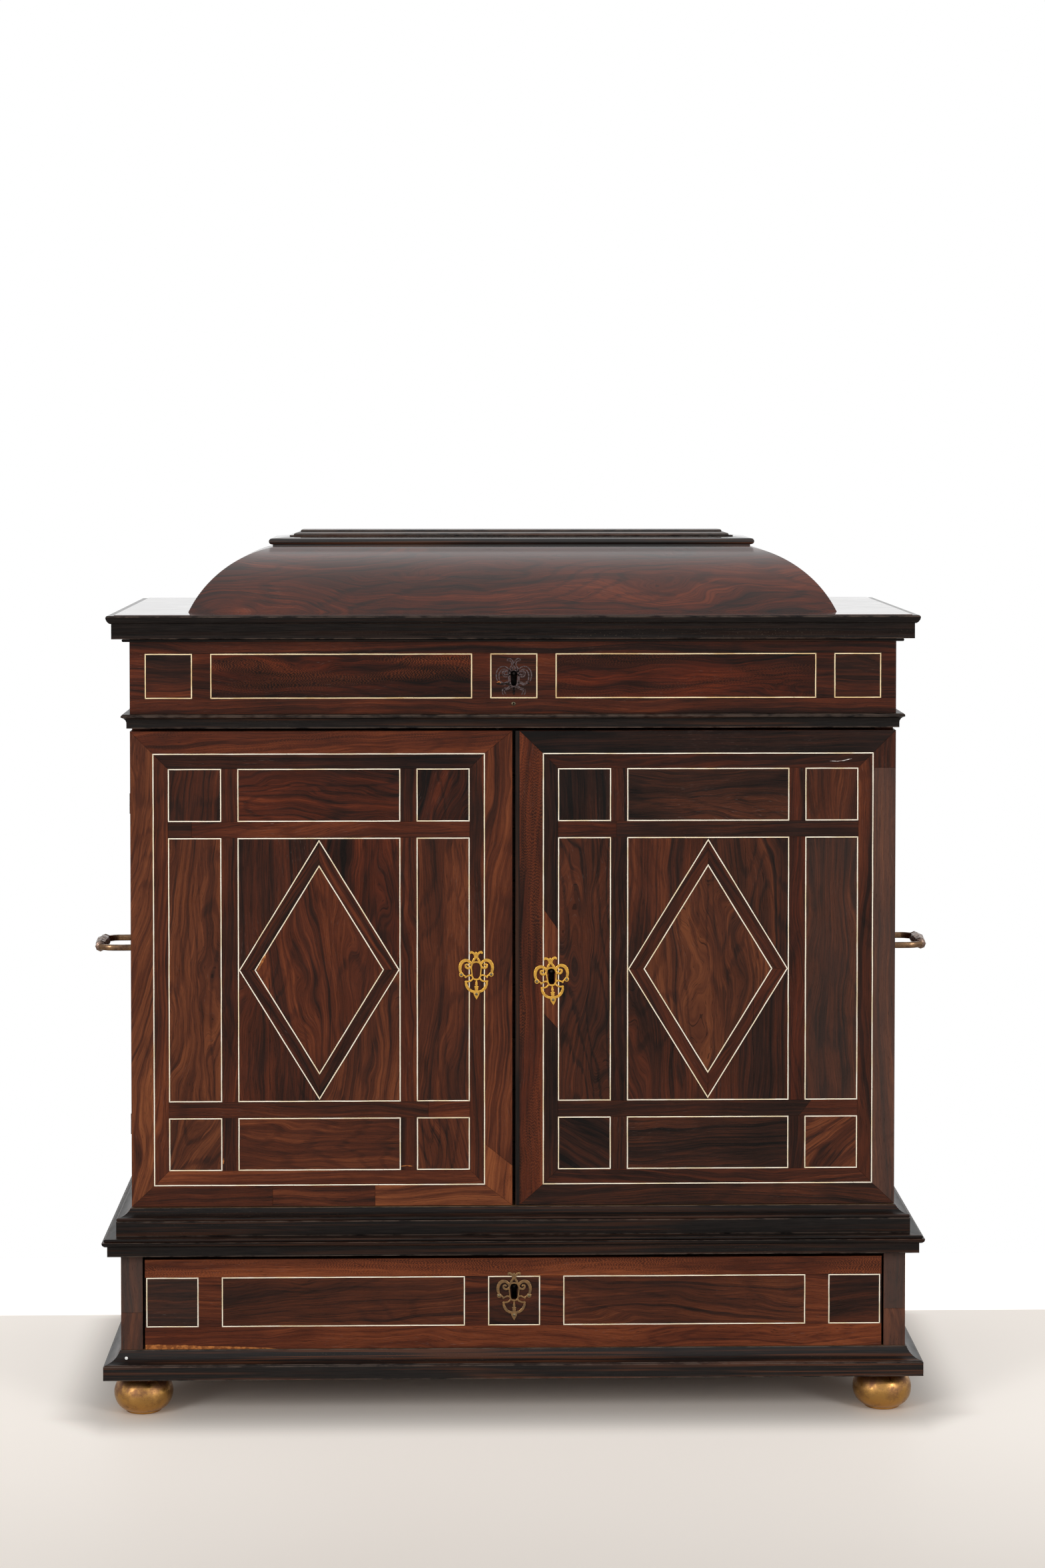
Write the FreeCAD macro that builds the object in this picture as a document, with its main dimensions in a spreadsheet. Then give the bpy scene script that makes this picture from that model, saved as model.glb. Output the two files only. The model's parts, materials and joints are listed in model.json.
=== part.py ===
# Coin cabinet with a coved lid, two inlaid doors, nine coin drawers and a base drawer
#
# Millimetres. X runs to the right as the doors are faced, the front is -Y and Z is up.
# The origin lies on the floor, under the middle of the base moulding's width and depth.

import FreeCAD, Part
import math
import os
import Sketcher

Vector = FreeCAD.Vector
doc = FreeCAD.newDocument("coin_cabinet")
sheet = doc.addObject("Spreadsheet::Sheet", "sizes")

# Driving sizes, one cell each
SIZES = {
    # carcass
    "case_width": 752,
    "case_depth": 326,
    "side_thickness": 18,
    "back_thickness": 10,
    "rear_inset": 3,
    "running_gap": 0.3,
    # plinth and feet
    "foot_height": 39,
    "foot_radius": 29,
    "foot_pad_radius": 18,
    "foot_belly_height": 18,
    "foot_neck_radius": 17,
    "foot_neck_height": 35,
    "foot_inset": 36,
    "base_height": 26,
    "base_projection": 26,
    "base_fascia": 14,
    "plinth_projection": 10,
    "plinth_stile": 21.4,
    "drawer_opening": 95,
    "plinth_cornice_height": 18,
    "plinth_cornice_fascia": 10,
    "plinth_cornice_projection": 17,
    "plinth_cornice_step": 5,
    "plinth_bead_height": 3,
    "bead_ease": 0.1,
    "step_height": 25,
    "step_projection": 14,
    "step_fascia": 15,
    "step_bead": 3,
    "step_edge": 1.2,
    # doors
    "door_opening": 473,
    "door_thickness": 20,
    "door_foot_gap": 1,
    "door_head_gap": 3,
    "meeting_gap": 3,
    "meeting_strip": 4,
    "string_width": 2.2,
    "string_depth": 1,
    "door_border_side": 21.5,
    "door_border_meeting": 26.5,
    "door_border_top": 21.5,
    "door_border_foot": 20,
    "panel_gap": 15,
    "panel_square": 53,
    # waist, frieze and its bead
    "waist_height": 14,
    "waist_fascia": 5,
    "waist_step": 3,
    "waist_projection": 8,
    "frieze_height": 71,
    "frieze_bead_height": 3,
    "frieze_bead_projection": 7,
    "frieze_margin": 14.4,
    "frieze_square": 47,
    "frieze_gap": 17,
    "frieze_string_height": 45,
    "frieze_string_rise": 14.5,
    # lid
    "lid_fascia_projection": 16,
    "lid_nose_projection": 21,
    "lid_fascia_height": 15,
    "lid_nose_height": 8,
    "lid_rebate_height": 9.5,
    "lid_frame_inside": 18,
    "lid_board_projection": 13.5,
    "lid_board_thickness": 14,
    "dome_setback_side": 68,
    "dome_setback_front": 48,
    "dome_setback_rear": 36,
    "dome_cove": 80,
    "dome_height": 62,
    "dome_top_overlap": 1.5,
    "dome_foot_arc": 52,
    "dome_wall": 14,
    "cap_fillet_height": 4,
    "cap_fillet_inset": 8,
    "cap_lower_height": 6,
    "cap_upper_height": 7,
    "cap_upper_inset": 22,
    "cap_taper": 8,
    # base drawer
    "drawer_front_height": 89,
    "drawer_front_thickness": 18,
    "drawer_side_clearance": 2,
    "drawer_side_height": 74,
    "drawer_side_thickness": 10,
    "drawer_bottom_thickness": 6,
    "drawer_length": 300,
    "drawer_square": 52,
    "drawer_gap": 22,
    "drawer_string_height": 50,
    "drawer_string_rise": 21.5,
    "drawer_string_margin": 1,
    # coin drawers
    "coin_drawer_count": 9,
    "coin_drawer_setback": 50,
    "coin_drawer_depth": 255,
    "coin_front_thickness": 10,
    "coin_wall": 7,
    "coin_bottom": 4,
    "coin_side_clearance": 1.5,
    "coin_front_gap": 2,
    "coin_head_room": 3,
    "runner_height": 6,
    "runner_width": 12,
    "knob_radius": 7,
    "knob_length": 13,
    "knob_stem_radius": 3,
    "knob_share_of_width": 0.27,
    # hinges
    "door_hinge_length": 20,
    "door_hinge_low": 78,
    "door_hinge_high": 396,
    "door_hinge_offset": 0.6,
    "knuckle_radius": 2.2,
    "pin_radius": 1,
    "pin_play": 0.1,
    "leaf_thickness": 1.2,
    "leaf_width": 15,
    "lid_hinge_length": 60,
    "lid_hinge_place": 250,
    "lid_leaf_width": 8,
    # locks and keyholes
    "keyhole_round": 3.7,
    "keyhole_slot": 2.9,
    "keyhole_above": 8,
    "keyhole_below": 8,
    "door_keyhole_inset": 35.5,
    "door_keyhole_rise": 227,
    "drawer_keyhole_rise": 56,
    "frieze_keyhole_rise": 35,
    "lock_width": 58,
    "lock_height": 44,
    "till_lock_height": 58,
    "lock_thickness": 12,
    "lock_wall": 2,
    "drill_pin_radius": 1.2,
    "bolt_width": 12,
    "bolt_thickness": 4,
    "bolt_length": 22,
    "bolt_play": 0.4,
    "drawer_bolt_mortise": 12,
    "staple_width": 8,
    "staple_drop": 14,
    "staple_thickness": 3,
    "staple_leg": 1.8,
    "staple_play": 0.8,
    "till_bolt_height": 5,
    "till_bolt_drop": 10,
    "till_bolt_setback": 3,
    "slide_bolt_radius": 3,
    "slide_bolt_length": 60,
    "slide_bolt_guide_width": 16,
    "slide_bolt_guide_height": 14,
    "slide_bolt_guide_thickness": 10,
    "slide_bolt_inset": 14,
    "slide_bolt_finger": 8,
    "slide_bolt_reach": 12,
    # escutcheons
    "blind_rise": 6,
    "escutcheon_width": 36,
    "escutcheon_height": 49,
    "escutcheon_thickness": 1.4,
    "escutcheon_band": 3.2,
    # side handles
    "bail_height": 441,
    "bail_half_span": 31.5,
    "bail_pivot_out": 9,
    "bail_reach": 53,
    "bail_arm_width": 5,
    "bail_arm_height": 6,
    "bail_corner": 10,
    "grip_radius": 6.4,
    "bail_pin_radius": 1.8,
    "bail_pin_length": 7,
    "post_ball_radius": 4.6,
    "post_neck_radius": 2.6,
    "post_plate_radius": 9,
    "post_plate_thickness": 1.8,
    "post_gap": 0.6,
}
for row, (alias, value) in enumerate(SIZES.items(), start=1):
    sheet.set(f"A{row}", alias)
    sheet.set(f"B{row}", str(value))
    sheet.setAlias(f"B{row}", alias)
doc.recompute()


def value(expression):
    """The number that an expression in the sheet's names comes to now."""
    result = sheet.evalExpression(str(expression))
    return getattr(result, "Value", result)


# Levels and planes worked out from the driving sizes
half = "(sizes.case_width / 2)"
rear = ("((sizes.case_depth + sizes.plinth_projection"
        " + sizes.plinth_cornice_projection) / 2)")
face = f"({rear} - sizes.case_depth)"
case_rear = f"({rear} - sizes.rear_inset)"
back_face = f"({case_rear} - sizes.back_thickness)"
inside = f"({half} - sizes.side_thickness)"
plinth_half = f"({half} + sizes.plinth_projection)"
plinth_face = f"({face} - sizes.plinth_projection)"
plinth_inside = f"({plinth_half} - sizes.plinth_stile)"
back_plane = f"({rear} - sizes.back_thickness)"
frieze_back = f"({face} + sizes.side_thickness)"
base_z = "sizes.foot_height"
drawer_z = "(sizes.foot_height + sizes.base_height)"
dust_z = f"({drawer_z} + sizes.drawer_opening)"
step_z = f"({dust_z} + sizes.plinth_cornice_height)"
floor_z = f"({step_z} + sizes.step_height)"
waist_z = f"({floor_z} + sizes.door_opening)"
frieze_z = f"({waist_z} + sizes.waist_height)"
bead_z = f"({frieze_z} + sizes.frieze_height)"
rim_z = f"({bead_z} + sizes.frieze_bead_height)"
lid_z = f"({rim_z} + sizes.running_gap)"
board_z = f"({lid_z} + sizes.lid_rebate_height)"
dome_z = f"({board_z} + sizes.lid_board_thickness)"
cap_z = f"({dome_z} + sizes.dome_height)"
door_back = f"({face} + sizes.door_thickness)"
carcass_front = f"({door_back} + sizes.running_gap)"
door_z = f"({floor_z} + sizes.door_foot_gap)"
door_height = "(sizes.door_opening - sizes.door_foot_gap - sizes.door_head_gap)"
door_width = f"({half} - sizes.meeting_gap / 2)"
hinge_x = f"({half} + sizes.door_hinge_offset)"
hinge_y = f"({door_back} + sizes.running_gap / 2)"
lid_hinge_z = f"({rim_z} + sizes.running_gap / 2)"
frieze_keyhole_z = f"({frieze_z} + sizes.frieze_keyhole_rise)"
door_keyhole_z = f"({door_z} + sizes.door_keyhole_rise)"
door_keyhole_x = "(sizes.meeting_gap / 2 + sizes.door_keyhole_inset)"
drawer_half = f"({plinth_inside} - sizes.drawer_side_clearance)"
drawer_front_z = f"({drawer_z} + sizes.running_gap)"
drawer_front_top = f"({drawer_front_z} + sizes.drawer_front_height)"
drawer_front_back = f"({plinth_face} + sizes.drawer_front_thickness)"
drawer_keyhole_z = f"({drawer_front_z} + sizes.drawer_keyhole_rise)"
drawer_bolt_y = f"({drawer_front_back} + (sizes.lock_thickness - sizes.bolt_thickness) / 2)"
slide_bolt_x = "(-(sizes.meeting_gap / 2 + sizes.slide_bolt_inset))"
slide_bolt_y = f"({door_back} + sizes.slide_bolt_guide_thickness / 2)"
coin_face = f"({face} + sizes.coin_drawer_setback)"
COIN_DRAWERS = round(value("sizes.coin_drawer_count"))

nodes = []
SIDES = {"left": -1, "right": 1}
FLATS = 12


def node(obj, label):
    """Take an object of the document as one finished piece under its own name."""
    obj.Label = label
    nodes.append(obj)
    return obj


def bind(obj, **expressions):
    for name, expression in expressions.items():
        obj.setExpression(name, str(expression))
    return obj


def place(obj, x=0, y=0, z=0):
    obj.setExpression("Placement.Base.x", str(x))
    obj.setExpression("Placement.Base.y", str(y))
    obj.setExpression("Placement.Base.z", str(z))
    return obj


def block(name, x_range, y_range, z_range):
    """A board between two planes each way."""
    obj = doc.addObject("Part::Box", name)
    bind(
        obj,
        Length=f"({x_range[1]}) - ({x_range[0]})",
        Width=f"({y_range[1]}) - ({y_range[0]})",
        Height=f"({z_range[1]}) - ({z_range[0]})",
    )
    return place(obj, x_range[0], y_range[0], z_range[0])


def rod(name, axis, start, radius, length):
    """A round bar along one axis, from its start point."""
    obj = doc.addObject("Part::Cylinder", name)
    turns = {"X": (Vector(0, 1, 0), 90), "Y": (Vector(1, 0, 0), -90), "Z": (Vector(0, 0, 1), 0)}
    obj.Placement.Rotation = FreeCAD.Rotation(*turns[axis])
    bind(obj, Radius=radius, Height=length)
    return place(obj, *start)


def flatted(name, axis, start, radius, length, hole=False):
    """A small round bar or hole drawn with even flats, the hole's flats clear of its radius."""
    obj = doc.addObject("Part::Prism", name)
    obj.Polygon = FLATS
    turns = {"X": (Vector(0, 1, 0), 90), "Y": (Vector(1, 0, 0), -90), "Z": (Vector(0, 0, 1), 0)}
    obj.Placement.Rotation = FreeCAD.Rotation(*turns[axis])
    spread = 1 / math.cos(math.pi / FLATS) if hole else 1
    bind(obj, Circumradius=f"({radius}) * {spread}", Height=length)
    return place(obj, *start)


def faceted(name, profile, sides):
    """A turned piece on Z with even flats, from its (radius, height) points read off the sheet."""
    rings = []
    for radius, height in profile:
        reach, level = value(radius), value(height)
        angles = [2 * math.pi * (k + 0.5) / sides for k in range(sides)]
        rings.append([Vector(reach * math.cos(a), reach * math.sin(a), level) for a in angles])
    faces = [Part.Face(Part.makePolygon(ring_points + ring_points[:1])) for ring_points in
             (rings[0][::-1], rings[-1])]
    for low, high in zip(rings, rings[1:]):
        for k in range(sides):
            following = (k + 1) % sides
            corners = [low[k], low[following], high[following], high[k], low[k]]
            faces.append(Part.Face(Part.makePolygon(corners)))
    obj = doc.addObject("Part::Feature", name)
    obj.Shape = Part.Solid(Part.Shell(faces))
    return obj


def joined(name, pieces):
    obj = doc.addObject("Part::MultiFuse", name)
    obj.Shapes = pieces
    return obj


def carved(name, base, tools):
    """The base with every tool taken out of it."""
    obj = doc.addObject("Part::Cut", name)
    obj.Base = base
    obj.Tool = tools[0] if len(tools) == 1 else joined(f"{name}_tools", tools)
    return obj


def across(reach):
    """The same distance to both sides of the middle."""
    return (f"-({reach})", reach)


def sided(side, near, far):
    """A range across X on one side, given by distances from the middle."""
    return (near, far) if side > 0 else (f"-({far})", f"-({near})")


def draw(sketch, points, closed=True):
    """Straight lines and arcs through points; an arc's point adds its radius and its turn."""
    spots = [Vector(value(point[0]), value(point[1]), 0) for point in points]
    first = 0 if closed else 1
    runs = []
    for index in range(first, len(points)):
        start, end, point = spots[index - 1], spots[index], points[index]
        if len(point) == 2:
            geometry, ends = Part.LineSegment(start, end), (1, 2)
        else:
            radius = value(point[2])
            turn = 1 if point[3] == "left" else -1
            chord = end - start
            rise = math.sqrt(max(radius ** 2 - (chord.Length / 2) ** 2, 0))
            across_chord = Vector(-chord.y, chord.x, 0).normalize() * rise * turn
            centre = (start + end) * 0.5 + across_chord
            angles = [math.atan2(spot.y - centre.y, spot.x - centre.x) for spot in (start, end)]
            circle = Part.Circle(centre, Vector(0, 0, 1), radius)
            geometry = Part.ArcOfCircle(circle, *(angles if turn > 0 else angles[::-1]))
            ends = (1, 2) if turn > 0 else (2, 1)
        item = sketch.addGeometry(geometry, False)
        runs.append((item, ends, point))
        if len(point) > 2:
            mark = sketch.addConstraint(Sketcher.Constraint("Radius", item, radius))
            sketch.setExpression(f"Constraints[{mark}]", str(point[2]))
    for index, (item, ends, point) in enumerate(runs):
        for axis, expression in (("DistanceX", point[0]), ("DistanceY", point[1])):
            rule = Sketcher.Constraint(axis, -1, 1, item, ends[1], value(expression))
            mark = sketch.addConstraint(rule)
            sketch.setExpression(f"Constraints[{mark}]", str(expression))
        if closed or index + 1 < len(runs):
            following = runs[(index + 1) % len(runs)]
            rule = Sketcher.Constraint("Coincident", item, ends[1], following[0], following[1][0])
            sketch.addConstraint(rule)
    if not closed:
        item, ends, point = runs[0]
        for axis, expression in (("DistanceX", points[0][0]), ("DistanceY", points[0][1])):
            rule = Sketcher.Constraint(axis, -1, 1, item, ends[0], value(expression))
            mark = sketch.addConstraint(rule)
            sketch.setExpression(f"Constraints[{mark}]", str(expression))
    return sketch


def body_sketch(body, name, role, offset=None):
    """A sketch on one of the body's own origin planes, moved along that plane's normal."""
    sketch = body.newObject("Sketcher::SketchObject", name)
    plane = [item for item in body.Origin.OriginFeatures if item.Role == role][0]
    sketch.AttachmentSupport = (plane, [""])
    sketch.MapMode = "FlatFace"
    if offset is not None:
        sketch.setExpression("AttachmentOffset.Base.z", str(offset))
    return sketch


def padded(name, role, loops, length, offset=None):
    """A body made by one pad of its outlines."""
    body = doc.addObject("PartDesign::Body", name)
    sketch = body_sketch(body, f"{name}_outline", role, offset)
    for loop in loops:
        draw(sketch, loop)
    pad = body.newObject("PartDesign::Pad", f"{name}_pad")
    pad.Profile = sketch
    bind(pad, Length=length)
    return body


def moulding(name, reach, front, back, points):
    """A mitred moulding round the front and both sides; points are (out from the face, height)."""
    body = doc.addObject("PartDesign::Body", name)
    route = [(f"-({reach})", back), (f"-({reach})", front), (reach, front), (reach, back)]
    path = draw(body_sketch(body, f"{name}_path", "XY_Plane", points[0][1]), route, closed=False)
    profile = body_sketch(body, f"{name}_profile", "XZ_Plane", f"-({back})")
    turned_over = {"left": "right", "right": "left"}
    outline = []
    for out, *rest in points:
        arc = (rest[1], turned_over[rest[2]]) if len(rest) > 1 else ()
        outline.append((f"-({reach}) - ({out})", rest[0]) + arc)
    draw(profile, outline)
    pipe = body.newObject("PartDesign::AdditivePipe", f"{name}_run")
    pipe.Profile = profile
    pipe.Spine = path
    pipe.Transition = "Right corner"
    return body


# Bun feet: a pad, a wide belly of two quarter ovals and a neck under the base board
FOOT_FLATS = 18
FOOT_LOW_STEPS = 3
FOOT_HIGH_STEPS = 4


def feet():
    belly, neck = "sizes.foot_belly_height", "sizes.foot_neck_radius"
    profile = []
    pad, widest = "sizes.foot_pad_radius", "sizes.foot_radius"
    for step in range(FOOT_LOW_STEPS):
        turn = math.pi / 2 * step / FOOT_LOW_STEPS
        radius = f"{pad} + ({widest} - {pad}) * {math.sin(turn)}"
        profile.append((radius, f"{belly} * {1 - math.cos(turn)}"))
    for step in range(FOOT_HIGH_STEPS + 1):
        turn = math.pi / 2 * step / FOOT_HIGH_STEPS
        radius = f"{neck} + ({widest} - {neck}) * {math.cos(turn)}"
        profile.append((radius, f"{belly} + (sizes.foot_neck_height - {belly}) * {math.sin(turn)}"))
    profile.append((neck, "sizes.foot_height"))
    set_of_four = []
    for side, sign in SIDES.items():
        for end, y in (("front", f"{face} - sizes.base_projection + sizes.foot_inset"),
                       ("rear", f"{rear} - sizes.foot_inset")):
            foot = faceted(f"foot_{end}_{side}", profile, FOOT_FLATS)
            place(foot, f"{sign} * ({half} + sizes.base_projection - sizes.foot_inset)", y, 0)
            set_of_four.append(foot)
    node(joined("bun_feet", set_of_four), "bun_feet")


# Plinth: base board with its moulding, two sides whose front edges are the stiles,
# a back, a dust board over the drawer and the two black mouldings that step up to the case
def plinth():
    base = block("base_board", across(plinth_half), (plinth_face, back_plane), (base_z, drawer_z))
    node(base, "base_board")
    rise = f"{base_z} + sizes.base_fascia"
    cove = "sizes.base_height - sizes.base_fascia"
    out = "sizes.base_projection - sizes.plinth_projection"
    points = [
        ("0", base_z),
        (out, base_z),
        (out, rise),
        (f"{out} - sizes.step_edge", rise),
        ("sizes.step_edge", drawer_z, f"1.25 * ({cove})", "right"),
        ("0", drawer_z),
    ]
    node(moulding("base_moulding", plinth_half, plinth_face, rear, points), "base_moulding")
    boards = [
        block(
            f"plinth_side_{side}",
            sided(sign, plinth_inside, plinth_half),
            (plinth_face, back_plane),
            (drawer_z, dust_z),
        )
        for side, sign in SIDES.items()
    ]
    node(joined("plinth_sides", boards), "plinth_sides")
    back = block("plinth_back", across(plinth_half), (back_plane, rear), (base_z, step_z))
    node(back, "plinth_back")

    dust = block("dust_board_blank", across(plinth_half), (plinth_face, back_plane), (dust_z, step_z))
    mortise = block(
        "drawer_bolt_mortise",
        across("sizes.bolt_width / 2 + sizes.bolt_play"),
        (
            f"{drawer_bolt_y} - sizes.bolt_play",
            f"{drawer_bolt_y} + sizes.bolt_thickness + sizes.bolt_play",
        ),
        (f"{dust_z} - sizes.running_gap", f"{dust_z} + sizes.drawer_bolt_mortise"),
    )
    node(carved("dust_board", dust, [mortise]), "dust_board")

    nose = "sizes.plinth_cornice_projection"
    fascia = f"({nose} - sizes.plinth_cornice_step)"
    fascia_top = f"{dust_z} + sizes.plinth_cornice_fascia"
    nose_top = f"{step_z} - sizes.plinth_bead_height"
    points = [
        ("0", dust_z),
        (fascia, dust_z),
        (fascia, fascia_top),
        (nose, nose_top, f"({nose_top}) - ({fascia_top})", "left"),
        (f"{nose} - sizes.plinth_bead_height", nose_top),
        (f"{nose} - sizes.plinth_bead_height", step_z, "sizes.plinth_bead_height / 2 + sizes.bead_ease",
         "left"),
        ("0", step_z),
    ]
    node(moulding("plinth_cornice", plinth_half, plinth_face, rear, points), "plinth_cornice")

    fascia_top = f"{step_z} + sizes.step_fascia"
    bead_top = f"{fascia_top} + sizes.step_bead"
    out = "sizes.step_projection"
    points = [
        ("0", step_z),
        (out, step_z),
        (out, fascia_top),
        (f"{out} - sizes.step_edge", fascia_top),
        (f"{out} - sizes.step_edge", bead_top, "sizes.step_bead / 2 + sizes.bead_ease", "left"),
        (f"{out} - 2 * sizes.step_edge", bead_top),
        ("sizes.step_edge", floor_z, f"{out} - sizes.step_edge", "right"),
        ("0", floor_z),
    ]
    node(moulding("step_moulding", half, face, case_rear, points), "step_moulding")


# Case: a floor and a ceiling that reach the door faces, sides that stop behind the doors
def case():
    node(block("case_floor", across(half), (face, back_face), (step_z, floor_z)), "case_floor")
    ceiling = block("case_ceiling_blank", across(half), (face, back_face), (waist_z, frieze_z))
    hole = flatted(
        "case_ceiling_hole",
        "Z",
        (slide_bolt_x, slide_bolt_y, f"{waist_z} - sizes.running_gap"),
        "sizes.slide_bolt_radius + sizes.bolt_play",
        "sizes.slide_bolt_reach + sizes.running_gap",
        hole=True,
    )
    node(carved("case_ceiling", ceiling, [hole]), "case_ceiling")
    back = block("case_back_blank", across(half), (back_face, case_rear), (step_z, rim_z))
    recesses = hinge_recesses("case_back", ("X", SIDES), moving=False)
    node(carved("case_back", back, recesses), "case_back")
    for side, sign in SIDES.items():
        board = block(
            f"case_side_{side}_blank",
            sided(sign, inside, half),
            (carcass_front, back_face),
            (floor_z, waist_z),
        )
        recesses = hinge_recesses(f"case_side_{side}", ("Z", (side,)), moving=False)
        node(carved(f"case_side_{side}", board, recesses), f"case_side_{side}")
    runners = []
    for level in range(COIN_DRAWERS):
        bottom = coin_level(level)
        for side, sign in SIDES.items():
            runners.append(block(
                f"runner_{side}_{level + 1}",
                sided(sign, f"{inside} - sizes.runner_width", inside),
                (f"{coin_face} + sizes.coin_front_thickness + sizes.running_gap", back_face),
                (bottom, f"{bottom} + sizes.runner_height"),
            ))
    node(joined("coin_drawer_runners", runners), "coin_drawer_runners")

    waist_top = f"{waist_z} + sizes.waist_fascia"
    nose = "sizes.waist_projection"
    points = [
        ("0", waist_z),
        ("sizes.waist_step", waist_z),
        ("sizes.waist_step", waist_top),
        (nose, f"{frieze_z} - sizes.waist_step",
         f"{nose} - sizes.waist_step + sizes.step_edge", "right"),
        (nose, f"{frieze_z} - sizes.step_edge"),
        (f"{nose} - sizes.step_edge", frieze_z),
        ("0", frieze_z),
    ]
    node(moulding("waist_moulding", half, face, case_rear, points), "waist_moulding")


# Frieze: the front and sides of the till under the lid, with a bead planted along the rim
def frieze():
    front = block("frieze_front_blank", across(half), (face, frieze_back), (frieze_z, rim_z))
    stringing = node(frieze_stringing("frieze_stringing"), "frieze_stringing")
    hole = keyhole("frieze_keyhole", "0", frieze_keyhole_z, face, "sizes.side_thickness")
    node(carved("frieze_front", front, [stringing, hole]), "frieze_front")
    boards = [
        block(
            f"frieze_side_{side}",
            sided(sign, inside, half),
            (frieze_back, back_face),
            (frieze_z, rim_z),
        )
        for side, sign in SIDES.items()
    ]
    node(joined("frieze_sides", boards), "frieze_sides")
    out = "sizes.frieze_bead_projection"
    points = [
        ("0", bead_z),
        (f"{out} - sizes.step_edge", bead_z),
        (f"{out} - sizes.step_edge", rim_z, "sizes.frieze_bead_height / 2 + sizes.bead_ease", "left"),
        ("0", rim_z),
    ]
    node(moulding("frieze_bead", half, face, case_rear, points), "frieze_bead")


# Stringing: thin bone lines let into the boards, each outline a closed ring of even width
def ring(name, x_range, z_range, front):
    outer = block(f"{name}_outer", x_range, (front, f"{front} + sizes.string_depth"), z_range)
    width = "sizes.string_width"
    inner = block(
        f"{name}_inner",
        (f"{x_range[0]} + {width}", f"{x_range[1]} - {width}"),
        (f"{front} - {width}", f"{front} + sizes.string_depth + {width}"),
        (f"{z_range[0]} + {width}", f"{z_range[1]} - {width}"),
    )
    return carved(name, outer, [inner])


def lozenge(centre, reach, rise, inset):
    """A lozenge drawn inside another by an even inset from its sides."""
    share = f"(1 - ({inset}) * sqrt(({reach})^2 + ({rise})^2) / (({reach}) * ({rise})))"
    x, z = centre
    return [
        (f"{x} - ({reach}) * {share}", z),
        (x, f"{z} - ({rise}) * {share}"),
        (f"{x} + ({reach}) * {share}", z),
        (x, f"{z} + ({rise}) * {share}"),
    ]


def frieze_stringing(name):
    margin, square, gap = "sizes.frieze_margin", "sizes.frieze_square", "sizes.frieze_gap"
    long = f"((sizes.case_width - 2 * {margin} - 3 * {square} - 4 * {gap}) / 2)"
    return string_row(name, half, margin, square, gap, long, face,
                      f"{frieze_z} + sizes.frieze_string_rise", "sizes.frieze_string_height")


def drawer_stringing(name):
    margin, square, gap = "sizes.drawer_string_margin", "sizes.drawer_square", "sizes.drawer_gap"
    long = f"((2 * {drawer_half} - 2 * {margin} - 3 * {square} - 4 * {gap}) / 2)"
    return string_row(name, drawer_half, margin, square, gap, long, plinth_face,
                      f"{drawer_front_z} + sizes.drawer_string_rise", "sizes.drawer_string_height")


def string_row(name, reach, margin, square, gap, long, front, bottom, height):
    """Square, long panel, square, long panel, square, in a row of outlines."""
    rings = []
    start = f"-{reach} + {margin}"
    for index, length in enumerate((square, long, square, long, square)):
        z_range = (bottom, f"{bottom} + {height}")
        x_range = (start, f"{start} + {length}")
        rings.append(ring(f"{name}_{index + 1}", x_range, z_range, front))
        start = f"{start} + {length} + {gap}"
    return joined(name, rings)


def door_stringing(name, sign):
    """A border line, nine panels in a three by three grid and two lozenges in the middle one."""
    side, square, gap = "sizes.door_border_side", "sizes.panel_square", "sizes.panel_gap"
    meeting, top, foot = "sizes.door_border_meeting", "sizes.door_border_top", "sizes.door_border_foot"
    wide = f"({door_width} - {side} - {meeting} - 4 * {gap} - 2 * {square})"
    tall = f"({door_height} - {top} - {foot} - 4 * {gap} - 2 * {square})"
    edge = f"{half} - {side}"
    rings = [ring(
        f"{name}_border",
        sided(sign, f"{half} - {door_width} + {meeting}", edge),
        (f"{door_z} + {foot}", f"{door_z} + {door_height} - {top}"),
        face,
    )]
    far = f"{edge} - {gap}"
    for column, width in enumerate((square, wide, square)):
        bottom = f"{door_z} + {foot} + {gap}"
        for row, height in enumerate((square, tall, square)):
            x_range = sided(sign, f"{far} - {width}", far)
            rings.append(ring(
                f"{name}_{column + 1}_{row + 1}", x_range, (bottom, f"{bottom} + {height}"), face
            ))
            bottom = f"{bottom} + {height} + {gap}"
        far = f"{far} - {width} - {gap}"
    centre = (
        f"{sign} * ({edge} - 2 * {gap} - {square} - {wide} / 2)",
        f"{door_z} + {foot} + 2 * {gap} + {square} + {tall} / 2",
    )
    for label, inset in (("outer", "sizes.string_width"), ("inner", gap)):
        loops = [
            lozenge(centre, f"{wide} / 2", f"{tall} / 2", extra)
            for extra in (inset, f"{inset} + sizes.string_width")
        ]
        line = padded(f"{name}_lozenge_{label}", "XZ_Plane", loops, "sizes.string_depth",
                      f"-({face} + sizes.string_depth)")
        rings.append(line)
    return joined(name, rings)


# Keyholes: a round head over a narrower slot
def keyhole(name, x, z, front, depth):
    head, slot = "sizes.keyhole_round", "sizes.keyhole_slot"
    centre = f"({z} + sizes.keyhole_above - {head})"
    play = "sizes.keyhole_slot"
    start = f"{front} - {play}"
    length = f"{depth} + 2 * {play}"
    top = rod(f"{name}_head", "Y", (x, start, centre), head, length)
    stem = block(
        f"{name}_slot",
        (f"{x} - {slot}", f"{x} + {slot}"),
        (start, f"{start} + {length}"),
        (f"{z} - sizes.keyhole_below", centre),
    )
    return joined(name, [top, stem])


# Hinges: three knuckles on a pin, with leaves let into the two boards that they join.
# A leaf is a plate that stops short of the barrel, with a tab out to each of its own knuckles.
KNUCKLES = 3
CASE_KNUCKLES = (0, 2)
MOVING_KNUCKLES = (1,)


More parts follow.
